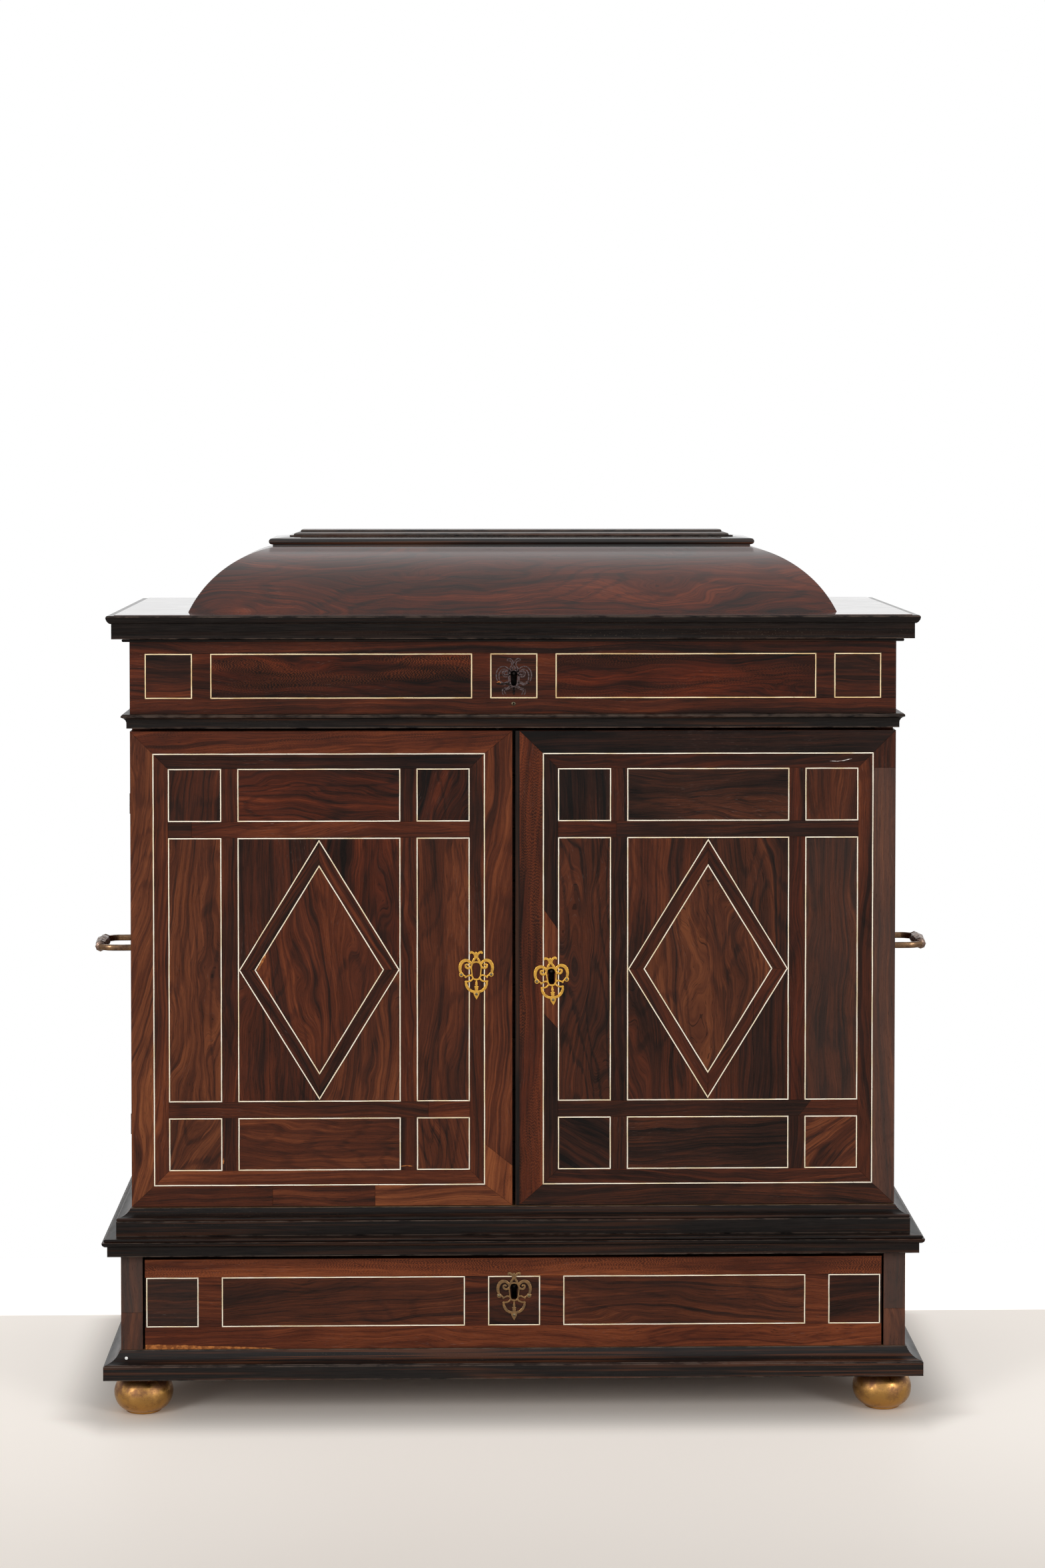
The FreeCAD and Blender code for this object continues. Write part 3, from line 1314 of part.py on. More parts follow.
def bails():
    pivot, reach = value("sizes.bail_pivot_out"), value("sizes.bail_reach")
    span, corner = value("sizes.bail_half_span"), value("sizes.bail_corner")
    wide, high = value("sizes.bail_arm_width"), value("sizes.bail_arm_height")
    grip = value("sizes.grip_radius")
    line = reach - grip
    pin_radius, pin_length = value("sizes.bail_pin_radius"), value("sizes.bail_pin_length")
    mitre = wide / 2 * math.tan(math.radians(22.5))
    slant = wide / 2 * math.sin(math.radians(45))
    for side, sign in SIDES.items():
        pieces = []
        for way in (-1, 1):
            plan = [
                (pivot - high / 2, span + wide / 2),
                (line - corner + mitre, span + wide / 2),
                (line + slant, span - corner + slant),
                (line - slant, span - corner - slant),
                (line - corner - mitre, span - wide / 2),
                (pivot - high / 2, span - wide / 2),
            ]
            corners = [Vector(sign * out, way * along, -high / 2) for out, along in plan]
            arm = Part.Face(Part.makePolygon(corners + corners[:1]))
            pieces.append(arm.extrude(Vector(0, 0, high)))
            pin = [
                Vector(
                    sign * pivot + pin_radius * math.cos(2 * math.pi * k / FLATS),
                    way * span,
                    pin_radius * math.sin(2 * math.pi * k / FLATS),
                )
                for k in range(FLATS + 1)
            ]
            inward = Vector(0, -way * (wide / 2 + pin_length), 0)
            pieces.append(Part.Face(Part.makePolygon(pin)).extrude(inward))
        half_grip = span - corner + wide / 2
        grip_piece = faceted(
            f"bail_{side}_grip",
            [(grip * share, along * half_grip)
             for along, share in zip(GRIP_LENGTH_SHARES, GRIP_RADIUS_SHARES)],
            GRIP_FLATS,
        )
        turn = FreeCAD.Rotation(Vector(1, 0, 0), 90)
        grip_piece.Placement = FreeCAD.Placement(Vector(sign * line, 0, 0), turn)
        pieces.append(grip_piece.Shape)
        obj = doc.addObject("Part::Feature", f"bail_{side}")
        obj.Shape = pieces[0].fuse(pieces[1:])
        place(obj, f"{sign} * {half}", 0, "sizes.bail_height")
        node(obj, f"bail_{side}")


feet()
plinth()
case()
frieze()
doors()
hinges()
locks()
escutcheons()
base_drawer()
coin_drawers()
lid()
handle_posts()
bails()
doc.recompute()

faults = [item.Name for item in doc.Objects if {"Invalid", "Error"} & set(item.State)]
for item in nodes:
    if item.Shape.isNull() or not item.Shape.isValid() or not item.Shape.Solids:
        faults.append(item.Label)
if faults:
    raise RuntimeError("not built: " + ", ".join(faults))

os.makedirs("parts", exist_ok=True)
for item in nodes:
    item.Shape.exportStep(os.path.join("parts", item.Label + ".step"))
print(len(nodes), "pieces written")
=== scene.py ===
# %% [markdown]
# # A coin cabinet in rosewood and bone
# The cabinet stands on four brass bun feet. A long drawer lies in its base, two doors with
# inlaid bone lines cover the coin drawers, and a coved lid closes a till under the top.
# The joiner's parts come from a frame that is already measured and jointed. This lesson
# dresses them: veneers, bone lines, black mouldings, brass and the light that shows them.

# %% Load the frame
import json
import math
import random

import bmesh
import bpy
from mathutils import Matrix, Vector, noise
from mathutils.geometry import tessellate_polygon

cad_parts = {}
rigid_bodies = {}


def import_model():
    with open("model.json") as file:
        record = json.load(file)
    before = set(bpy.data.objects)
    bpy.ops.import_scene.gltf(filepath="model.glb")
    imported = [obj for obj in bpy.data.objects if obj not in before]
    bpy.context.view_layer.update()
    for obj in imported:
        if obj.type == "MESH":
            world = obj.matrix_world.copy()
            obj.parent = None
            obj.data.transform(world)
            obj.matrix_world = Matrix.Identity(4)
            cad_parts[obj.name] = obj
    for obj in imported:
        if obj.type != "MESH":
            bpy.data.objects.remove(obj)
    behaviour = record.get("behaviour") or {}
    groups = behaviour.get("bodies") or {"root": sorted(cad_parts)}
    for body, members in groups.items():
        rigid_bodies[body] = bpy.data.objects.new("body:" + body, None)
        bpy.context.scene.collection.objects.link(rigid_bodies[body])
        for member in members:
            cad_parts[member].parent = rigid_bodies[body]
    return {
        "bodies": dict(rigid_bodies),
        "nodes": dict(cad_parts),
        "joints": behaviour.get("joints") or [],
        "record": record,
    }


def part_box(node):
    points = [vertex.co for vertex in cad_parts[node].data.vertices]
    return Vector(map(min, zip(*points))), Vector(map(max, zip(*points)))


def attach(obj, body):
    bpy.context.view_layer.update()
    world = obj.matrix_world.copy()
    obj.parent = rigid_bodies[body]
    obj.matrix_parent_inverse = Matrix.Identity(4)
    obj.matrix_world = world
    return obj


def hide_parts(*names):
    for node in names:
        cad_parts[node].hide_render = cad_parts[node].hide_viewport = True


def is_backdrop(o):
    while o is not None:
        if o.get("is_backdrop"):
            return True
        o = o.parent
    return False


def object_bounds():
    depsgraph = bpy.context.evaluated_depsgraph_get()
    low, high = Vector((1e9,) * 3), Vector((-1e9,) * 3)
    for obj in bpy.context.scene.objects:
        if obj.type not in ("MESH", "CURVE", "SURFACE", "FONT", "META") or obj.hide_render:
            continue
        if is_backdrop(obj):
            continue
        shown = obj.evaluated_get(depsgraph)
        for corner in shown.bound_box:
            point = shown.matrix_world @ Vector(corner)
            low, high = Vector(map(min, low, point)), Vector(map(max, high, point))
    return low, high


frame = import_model()
nodes = frame["nodes"]
cad_low, cad_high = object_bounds()

# %% [markdown]
# ## Camera
# The cabinet is seen from just above its top with a long lens, so that its uprights stay
# upright. The framing comes from shifting the lens, with hardly any tilt.


# %% Set the camera
def put(name, data):
    """Make an object and put it in the scene."""
    made = bpy.data.objects.new(name, data)
    bpy.context.scene.collection.objects.link(made)
    return made


def aim(holder, along):
    """Turn a camera or a lamp so that it looks along a direction."""
    holder.rotation_mode = "QUATERNION"
    holder.rotation_quaternion = along.to_track_quat("-Z", "Y")


YAW, PITCH = math.radians(1.179), math.radians(1.968)
camera = put("camera", bpy.data.cameras.new("camera"))
camera.data.lens = 70
camera.data.sensor_width = 36
camera.data.shift_y = -0.1505
camera.location = (-0.0529, -3.1322, 0.9549)
aim(camera, Vector((math.sin(YAW) * math.cos(PITCH), math.cos(YAW) * math.cos(PITCH), -math.sin(PITCH))))
bpy.context.scene.camera = camera
bpy.context.scene.view_settings.view_transform = "Standard"
print("camera at", tuple(round(c, 3) for c in camera.location))

# %% [markdown]
# ## Shader helpers
# A material is a small tree of nodes. A few helpers keep each tree short to read: one adds
# a node and fills its inputs, others do sums, noise and ramps, and one starts a node group
# with named inputs and outputs.


# %% Helpers for shader trees
def add(tree, kind, wires=None, **settings):
    """Add a node; settings go on it, wires fill its inputs with numbers, colours or outputs."""
    made = tree.nodes.new(kind)
    for name, value in settings.items():
        setattr(made, name, value)
    for name, value in (wires or {}).items():
        if isinstance(value, bpy.types.NodeSocket):
            tree.links.new(value, made.inputs[name])
        else:
            made.inputs[name].default_value = value
    return made


def maths(tree, kind, first, second=0.0, clamp=False):
    """One Math node's result."""
    return add(tree, "ShaderNodeMath", {0: first, 1: second}, operation=kind, use_clamp=clamp).outputs[0]


def plus(tree, first, second, clamp=False):
    return maths(tree, "ADD", first, second, clamp)


def minus(tree, first, second):
    return maths(tree, "SUBTRACT", first, second)


def times(tree, first, second, clamp=False):
    return maths(tree, "MULTIPLY", first, second, clamp)


def between(tree, share, first, second, kind="MIX"):
    """Mix two colours by a share."""
    wires = {0: share, 6: first, 7: second}
    return add(tree, "ShaderNodeMix", wires, data_type="RGBA", blend_type=kind).outputs[2]


def window(tree, value, low, high, result_low=0.0, result_high=1.0):
    """Spread the values from low to high over a new range, smoothly and held at its ends."""
    wires = {0: value, 1: low, 2: high, 3: result_low, 4: result_high}
    return add(tree, "ShaderNodeMapRange", wires, interpolation_type="SMOOTHSTEP").outputs[0]


print("node helpers are ready")


# %% Helpers for noise, groups and ramps
def lumps(tree, place, scale, detail=2.0, roughness=0.5):
    """Plain noise, with its scale in lumps a metre."""
    wires = {"Vector": place, "Scale": scale, "Detail": detail, "Roughness": roughness}
    return add(tree, "ShaderNodeTexNoise", wires).outputs[0]


def stretched(tree, vector, factors, detail=2.0, roughness=0.5):
    """Noise whose lumps are stretched by a factor each way, in lumps a metre."""
    scaled = add(tree, "ShaderNodeVectorMath", {0: vector, 1: factors}, operation="MULTIPLY")
    return lumps(tree, scaled.outputs[0], 1.0, detail, roughness)


def centred(tree, vector, factors, detail=2.0, roughness=0.5):
    """Stretched noise moved down to lie about zero."""
    return minus(tree, stretched(tree, vector, factors, detail, roughness), 0.5)


def object_place(tree):
    return add(tree, "ShaderNodeTexCoord").outputs["Object"]


FLOAT, COLOUR, VECTOR = "NodeSocketFloat", "NodeSocketColor", "NodeSocketVector"


def group(name, inputs):
    """Start a group that puts out colour, roughness and height; returns tree, inputs, outputs."""
    tree = bpy.data.node_groups.new(name, "ShaderNodeTree")
    for label, kind, value in inputs:
        socket = tree.interface.new_socket(name=label, in_out="INPUT", socket_type=kind)
        if value is not None:
            socket.default_value = value
    for label, kind in (("Color", COLOUR), ("Roughness", FLOAT), ("Height", FLOAT)):
        tree.interface.new_socket(name=label, in_out="OUTPUT", socket_type=kind)
    return tree, tree.nodes.new("NodeGroupInput").outputs, tree.nodes.new("NodeGroupOutput").inputs


def give(tree, result, colour, roughness, height):
    """Wire a group's three results."""
    for label, source in (("Color", colour), ("Roughness", roughness), ("Height", height)):
        tree.links.new(source, result[label])


def ramp(tree, value, stops):
    """A colour ramp through (place, colour) stops."""
    made = add(tree, "ShaderNodeValToRGB", {0: value})
    band = made.color_ramp
    while len(band.elements) < len(stops):
        band.elements.new(0.5)
    for element, (place, colour) in zip(band.elements, stops):
        element.position = place
        element.color = (*colour, 1)
    return made.outputs[0]


print("noise, group and ramp helpers are ready")

# %% [markdown]
# ## Rosewood figure
# Rosewood is a dark red-brown wood with near-black lines that run along the grain and sway
# round knots, fine fibres, open pores and here and there a rippled patch. One group makes
# all of it from a place in the grain: metres along it, metres across it, and a number that
# is different for each leaf of veneer. Swaying the place before the lines are drawn bends
# them the way growth rings bend.

# %% Build the rosewood group
rosewood_tree, given, result = group(
    "rosewood_figure",
    [("Grain", VECTOR, None), ("Tone", FLOAT, 0.5), ("Figure", FLOAT, 0.4), ("Red", FLOAT, 0.4),
     ("Ripple", FLOAT, 0.0)],
)
tree, grain = rosewood_tree, given["Grain"]
slow, quick = centred(tree, grain, (5, 16, 1), 1.5), centred(tree, grain, (22, 45, 1), 1.0)
sway = plus(tree, times(tree, slow, 0.085), times(tree, quick, 0.014))
shift = add(tree, "ShaderNodeCombineXYZ", {1: times(tree, sway, given["Figure"])}).outputs[0]
swayed = add(tree, "ShaderNodeVectorMath", {0: grain, 1: shift}, operation="ADD").outputs[0]
bands = centred(tree, swayed, (1.6, 62, 1), 4.0, 0.6)
lines = centred(tree, swayed, (2.6, 330, 1), 3.0, 0.6)
fibres = centred(tree, swayed, (45, 1300, 1))
clouds = centred(tree, grain, (8, 17, 1), 3.0)
veins = window(tree, stretched(tree, swayed, (1.3, 150, 1)), 0.585, 0.655)
growth = times(tree, stretched(tree, grain, (3.2, 15, 1), 1.5), 105.0)
growth = plus(tree, growth, times(tree, lines, 5.0))
webs = times(tree, window(tree, maths(tree, "SINE", growth), 0.45, 0.98), given["Figure"])
level = given["Tone"]
WEIGHTS = ((bands, 0.84), (lines, 0.60), (fibres, 0.38), (clouds, 0.50), (veins, -0.17), (webs, -0.12))
for part, weight in WEIGHTS:
    level = plus(tree, level, times(tree, part, weight))
wood = ramp(tree, level, [
    (0.0, (0.0042, 0.0030, 0.0026)),
    (0.25, (0.022, 0.0090, 0.0060)),
    (0.5, (0.066, 0.0190, 0.0090)),
    (0.75, (0.145, 0.0440, 0.0170)),
    (1.0, (0.26, 0.088, 0.0300)),
])
redder = times(tree, given["Red"], 0.8, clamp=True)
reddened = between(tree, redder, wood, (1.12, 0.70, 0.56, 1), "MULTIPLY")
greyer = window(tree, given["Red"], 0.0, -0.5, 0.0, 0.40)
reddened = between(tree, greyer, reddened, (0.085, 0.068, 0.060, 1))
along = add(tree, "ShaderNodeSeparateXYZ", {0: swayed}).outputs[0]
zigzag = stretched(tree, grain, (60, 420, 1), 1.0)
phase = plus(tree, times(tree, along, 2100.0), times(tree, zigzag, 26.0))
curl = window(tree, maths(tree, "SINE", phase), -0.2, 0.9)
patch = window(tree, stretched(tree, grain, (9, 60, 1), 1.0), 0.38, 0.62)
curl = times(tree, times(tree, curl, patch), given["Ripple"])
curled = between(tree, curl, reddened, (0.23, 0.058, 0.018, 1))
pores = stretched(tree, swayed, (130, 3000, 1), 1.0)
dark_pores = window(tree, pores, 0.36, 0.28)
pale_pores = times(tree, window(tree, pores, 0.68, 0.78), window(tree, clouds, 0.0, 0.16))
pitted = between(tree, times(tree, dark_pores, 0.65), curled, (0.004, 0.0025, 0.002, 1))
flecked = between(tree, times(tree, pale_pores, 0.45), pitted, (0.16, 0.115, 0.10, 1))
smears = stretched(tree, grain, (26, 34, 1), 3.0)
dull = window(tree, plus(tree, smears, times(tree, fibres, 0.3)), 0.3, 0.75, 0.26, 0.46)
give(tree, result, flecked, dull, minus(tree, times(tree, fibres, 0.5), dark_pores))
print("rosewood group:", len(tree.nodes), "nodes")

# %% [markdown]
# ## Rosewood materials
# Each leaf of veneer carries its own place in the grain and its own look as attributes of
# its corners, so one material serves every leaf. The plain boards of the carcass have no
# such attributes. They take the grain from their own coordinates, turned so that it runs
# along the board. Constants such as coat and sheen stay on the shader's own sockets.


# %% Helpers for materials
def new_material(name):
    """An empty material with a Principled shader wired to its output."""
    material = bpy.data.materials.new(name)
    material.use_nodes = True
    tree = material.node_tree
    return material, tree, tree.nodes["Principled BSDF"]


def bumped(tree, shader, height, strength, distance):
    """Raise the surface by a height without changing its shape."""
    wires = {"Strength": strength, "Distance": distance, "Height": height}
    tree.links.new(add(tree, "ShaderNodeBump", wires).outputs[0], shader.inputs["Normal"])


def finished(tree, shader, grouped, specular, bump, distance):
    """Wire a group's results to the shader."""
    tree.links.new(grouped.outputs["Color"], shader.inputs["Base Color"])
    tree.links.new(grouped.outputs["Roughness"], shader.inputs["Roughness"])
    shader.inputs["Specular IOR Level"].default_value = specular
    bumped(tree, shader, grouped.outputs["Height"], bump, distance)


def along_board(tree, direction, seed):
    """Coordinates with the grain first: metres along the named axis, across it, and a seed."""
    parts = add(tree, "ShaderNodeSeparateXYZ", {0: object_place(tree)}).outputs
    order = {"X": (0, 2, 1), "Y": (1, 2, 0), "Z": (2, 0, 1)}[direction]
    across = plus(tree, parts[order[1]], parts[order[2]])
    third = plus(tree, times(tree, parts[order[2]], 9.0), seed)
    return add(tree, "ShaderNodeCombineXYZ", {0: parts[order[0]], 1: across, 2: third}).outputs[0]


def painted(tree, name):
    """What a mesh carries under a name at its corners."""
    return add(tree, "ShaderNodeAttribute", attribute_name=name).outputs


def split_look(tree):
    """The first three numbers of a leaf's or a sweep's look."""
    return add(tree, "ShaderNodeSeparateColor", {0: painted(tree, "look")["Color"]}).outputs


def polished(shader, coat, index, roughness):
    """A coat of wax or shellac; a low index keeps it dull face on and bright at a glance."""
    shader.inputs["Coat Weight"].default_value = coat
    shader.inputs["Coat IOR"].default_value = index
    shader.inputs["Coat Roughness"].default_value = roughness


print("material helpers are ready")

# %% Make the rosewood materials
VENEER_SPECULAR, WOOD_BUMP, WOOD_DEPTH = 0.12, 0.16, 0.0002


def veneer_polish(name, specular, coat=0.0, sheen=0.0):
    """Rosewood that takes its grain and its look from the leaf it is on."""
    material, tree, shader = new_material(name)
    polished(shader, coat, 1.36, 0.24)
    shader.inputs["Sheen Weight"].default_value = sheen
    tone, figure, red = split_look(tree)
    wires = {"Grain": painted(tree, "grain")["Vector"], "Tone": tone, "Figure": figure, "Red": red,
             "Ripple": painted(tree, "look")["Alpha"]}
    wood = add(tree, "ShaderNodeGroup", wires, node_tree=rosewood_tree)
    finished(tree, shader, wood, specular, WOOD_BUMP, WOOD_DEPTH)
    return material


veneer = veneer_polish("rosewood_veneer", VENEER_SPECULAR)
dome_veneer = veneer_polish("rosewood_dome", 0.05, coat=1.0, sheen=0.48)


def rosewood_board(name, direction, seed, tone, coat):
    """Rosewood on a plain board, with the grain along one axis and a coat of polish if asked."""
    material, tree, shader = new_material(name)
    polished(shader, coat, 1.5, 0.04)
    wires = {"Grain": along_board(tree, direction, seed), "Tone": tone, "Figure": 0.5, "Red": 0.35}
    wood = add(tree, "ShaderNodeGroup", wires, node_tree=rosewood_tree)
    finished(tree, shader, wood, 0.5 if coat else VENEER_SPECULAR, WOOD_BUMP, WOOD_DEPTH)
    return material


print("veneer and board materials share", rosewood_tree.name)

# %% [markdown]
# ## Ebonised wood
# The mouldings are stained black and waxed. Where hands and dusters have rubbed the sharp
# edges the brown wood shows again, and long brown streaks show where the stain has worn
# thin. The pale brown on the arrises is partly that wear and partly a painted highlight,
# where the rounded edges would catch the lamps. It is painted from an attribute that is one
# on each arris and falls to zero beside it, broken up with noise so that no edge is evenly
# pale.

# %% Build the ebonised group
ebonised_tree, given, result = group(
    "ebonised_wood",
    [("Grain", VECTOR, None), ("Wear_and_highlight", FLOAT, 0.0), ("Brown", FLOAT, 0.3)],
)
tree, grain = ebonised_tree, given["Grain"]
streaks = stretched(tree, grain, (4.5, 420, 1), 3.0)
regions = stretched(tree, grain, (5, 60, 1))
fine = stretched(tree, grain, (45, 1400, 1))
dust = stretched(tree, grain, (800, 1100, 1), 1.0)
thin = times(tree, window(tree, streaks, 0.44, 0.62), window(tree, regions, 0.36, 0.60))
thin = times(tree, thin, given["Brown"], clamp=True)
BLACK, BLACK_BROWN = (0.0055, 0.0045, 0.0042, 1), (0.0125, 0.0098, 0.0088, 1)
stain = between(tree, window(tree, fine, 0.35, 0.7), BLACK, BLACK_BROWN)
streaked = between(tree, thin, stain, (0.060, 0.022, 0.011, 1))
rub = stretched(tree, grain, (55, 160, 1), 3.0, 0.65)
# The arris mask paints the edges pale brown: partly rubbed wear, partly a painted highlight.
arris_wear_and_highlight = times(tree, given["Wear_and_highlight"], window(tree, rub, 0.36, 0.60))
rubbed_and_highlit = between(tree, times(tree, arris_wear_and_highlight, 0.75), streaked, (0.115, 0.080, 0.062, 1))
specks = times(tree, window(tree, dust, 0.66, 0.78), window(tree, regions, 0.5, 0.7))
dusted = between(tree, times(tree, specks, 0.30), rubbed_and_highlit, (0.16, 0.12, 0.085, 1))
rubbed_off = times(tree, arris_wear_and_highlight, 0.3)
dull = window(tree, plus(tree, rub, rubbed_off), 0.3, 0.9, 0.30, 0.40)
give(tree, result, dusted, dull, minus(tree, times(tree, fine, 0.4), rubbed_off))
print("ebonised group:", len(tree.nodes), "nodes")


# %% Make the ebonised materials
def ebonised(name, brown, board=None, specular=0.12, coat=0.0, index=1.25):
    """Black stained wood; a board takes its grain from its coordinates, a sweep from its mesh."""
    material, tree, shader = new_material(name)
    polished(shader, coat, index, 0.08)
    wires = {"Brown": brown}
    if board:
        wires["Grain"] = along_board(tree, board, 3.0)
    else:
        # A sweep's first look value is its arris mask, painted as wear and a painted highlight.
        wires.update({"Grain": painted(tree, "grain")["Vector"], "Wear_and_highlight": split_look(tree)[0]})
    wood = add(tree, "ShaderNodeGroup", wires, node_tree=ebonised_tree)
    finished(tree, shader, wood, specular, 0.2, 0.00025)
    return material


black_moulding = ebonised("ebonised_moulding", 0.55)
black_base = ebonised("ebonised_base", 1.25, specular=0.2)
black_lid = ebonised("ebonised_lid", 0.15, specular=0.0, coat=0.7)
black_cap = ebonised("ebonised_cap", 0.9, specular=0.1, coat=0.9, index=1.42)
black_strip = ebonised("ebonised_strip", 0.5, board="Z")
print("ebonised materials:", black_moulding.name, black_base.name, black_strip.name)

# %% [markdown]
# ## Carcass wood, bone and metals
# Inside, the joiner used a plain pale wood, browned by age. The bone lines are cream,
# yellower in patches, with dirt along their edges. The metals differ in age: bright gilt
# brass on the doors, duller brass on the drawer and feet, brown bronze on the handles, dark
# iron for locks and hinges and filed steel for their bolts. The locks' iron is near black,
# darker than the rest: painted shade, so that the keyholes in front of them look black.

# %% Build the aged metal group
metal_tree, given, result = group(
    "aged_metal",
    [("Bright", COLOUR, (0.6, 0.4, 0.15, 1)), ("Dull", COLOUR, (0.2, 0.12, 0.06, 1)), ("Age", FLOAT, 0.5),
     ("Size", FLOAT, 60.0)],
)
tree = metal_tree
place = object_place(tree)
blooms, grit = lumps(tree, place, given["Size"], 4.0, 0.6), lumps(tree, place, 900.0)
tarnish = plus(tree, blooms, minus(tree, given["Age"], 0.5))
tarnish = window(tree, plus(tree, tarnish, times(tree, grit, 0.12)), 0.38, 0.82)
give(tree, result, between(tree, tarnish, given["Bright"], given["Dull"]),
     window(tree, tarnish, 0.0, 1.0, 0.24, 0.52), plus(tree, times(tree, grit, 0.3), blooms))
print("metal group:", len(tree.nodes), "nodes")


# %% Make the metals
def metal(name, bright, dull, age, size, bump=0.15):
    """An aged metal between a bright and a dull colour."""
    material, tree, shader = new_material(name)
    wires = {"Bright": (*bright, 1), "Dull": (*dull, 1), "Age": age, "Size": size}
    aged = add(tree, "ShaderNodeGroup", wires, node_tree=metal_tree)
    shader.inputs["Metallic"].default_value = 1.0
    finished(tree, shader, aged, 0.5, bump, 0.0003)
    return material


gilt = metal("gilt_brass_bright", (0.84, 0.47, 0.085), (0.30, 0.16, 0.045), 0.42, 220)
dull_brass = metal("brass_dull", (0.34, 0.20, 0.09), (0.13, 0.085, 0.05), 0.50, 220)
foot_brass = metal("foot_brass", (0.52, 0.28, 0.080), (0.17, 0.080, 0.044), 0.47, 75)
# The feet turn darker and duller towards their tops: partly tarnish, partly painted shade of the plinth.
tree = foot_brass.node_tree
height = add(tree, "ShaderNodeSeparateXYZ", {0: object_place(tree)}).outputs[2]
tree.links.new(window(tree, height, 0.010, 0.032, 0.38, 0.60), tree.nodes["Group"].inputs["Age"])
pin_brass = metal("pin_brass", (0.20, 0.16, 0.09), (0.09, 0.08, 0.06), 0.5, 300)
bronze = metal("bronze_brown", (0.22, 0.13, 0.07), (0.085, 0.05, 0.035), 0.5, 150)
grip_bronze = metal("bronze_grip", (0.25, 0.17, 0.13), (0.10, 0.07, 0.06), 0.5, 200)
iron = metal("iron_dark", (0.10, 0.09, 0.085), (0.045, 0.034, 0.030), 0.55, 90, 0.3)
# Painted shade: the locks are near black so that the keyholes in front of them look black.
lock_iron_shaded = metal("iron_lock_shaded", (0.035, 0.031, 0.029), (0.016, 0.012, 0.011), 0.6, 90, 0.3)
steel = metal("steel_filed", (0.36, 0.35, 0.33), (0.16, 0.13, 0.11), 0.45, 120)
print("metals:", gilt.name, dull_brass.name, foot_brass.name, bronze.name, iron.name, steel.name)


# %% Make bone and carcass wood
def bone(name, fresh, aged):
    """Bone line: cream, with a yellower bloom and dirt where the look says edge."""
    material, tree, shader = new_material(name)
    tint, edge, _ = split_look(tree)
    place = object_place(tree)
    bloom, streak = lumps(tree, place, 38.0, 3.0), lumps(tree, place, 900.0)
    base = between(tree, plus(tree, window(tree, bloom, 0.42, 0.68), tint), (*fresh, 1), (*aged, 1))
    dirt = times(tree, edge, window(tree, streak, 0.3, 0.7, 0.35, 0.9))
    tree.links.new(between(tree, dirt, base, (0.12, 0.07, 0.04, 1)), shader.inputs["Base Color"])
    tree.links.new(window(tree, streak, 0.3, 0.7, 0.35, 0.5), shader.inputs["Roughness"])
    shader.inputs["Specular IOR Level"].default_value = 0.3
    bumped(tree, shader, streak, 0.15, 0.0001)
    return material


door_bone = bone("bone_white", (0.93, 0.85, 0.71), (0.82, 0.68, 0.45))
frieze_bone = bone("bone_yellowed", (0.95, 0.78, 0.50), (0.74, 0.52, 0.26))

carcass_tree, given, result = group("carcass_wood", [("Grain", VECTOR, None)])
tree, grain = carcass_tree, given["Grain"]
rings = stretched(tree, grain, (2.0, 90, 1), 3.0)
fine = stretched(tree, grain, (30, 900, 1))
age = stretched(tree, grain, (6, 9, 1), 3.0)
level = plus(tree, times(tree, rings, 0.7), times(tree, fine, 0.3))
pale = ramp(tree, level, [
    (0.3, (0.115, 0.060, 0.028)),
    (0.5, (0.21, 0.120, 0.060)),
    (0.7, (0.30, 0.185, 0.10)),
])
browned = between(tree, window(tree, age, 0.45, 0.75), pale, (0.62, 0.55, 0.48, 1), "MULTIPLY")
give(tree, result, browned, window(tree, fine, 0.3, 0.7, 0.5, 0.66), fine)


def carcass(name, direction, seed):
    """Plain carcass wood with the grain along one axis."""
    material, tree, shader = new_material(name)
    wires = {"Grain": along_board(tree, direction, seed)}
    wood = add(tree, "ShaderNodeGroup", wires, node_tree=carcass_tree)
    finished(tree, shader, wood, 0.2, 0.25, 0.0003)
    return material


print("bone and carcass wood are ready")

# %% [markdown]
# ## Dress the joiner's parts
# Most of the frame's nodes already have the right shape: boards, drawers, locks, hinges.
# They keep their meshes and only take a material, with the grain along each board.

# %% Give every node its material
CARCASS_BOARDS = {
    "X": ["base_board", "dust_board", "plinth_back", "case_floor", "case_ceiling",
          "drawer_sides_and_back", "drawer_bottom"] + [f"coin_drawer_{k}" for k in range(1, 10)],
    "Y": ["coin_drawer_runners"],
    "Z": ["case_back"],
}
ROSEWOOD_BOARDS = {
    "plinth_sides": ("Y", 0.36), "case_side_left": ("Z", 0.50), "case_side_right": ("Z", 0.46),
    "frieze_sides": ("Y", 0.44), "frieze_front": ("X", 0.30), "drawer_front": ("X", 0.28),
    "door_left": ("Z", 0.42), "door_right": ("Z", 0.38), "lid_board": ("X", 0.40),
}
OTHER_NODES = {
    iron: ["hinge_case_halves", "door_left_hinge_halves", "door_right_hinge_halves", "lid_hinge_halves",
           "lid_staple", "slide_bolt_guides"],
    lock_iron_shaded: ["till_lock", "door_lock", "drawer_lock"],
    steel: ["till_lock_bolt", "door_lock_bolt", "drawer_lock_bolt", "door_left_slide_bolt"],
    black_strip: ["door_right_edge_strip"],
}


def dress(name, material):
    """Put one material on a node of the frame."""
    nodes[name].data.materials.clear()
    nodes[name].data.materials.append(material)


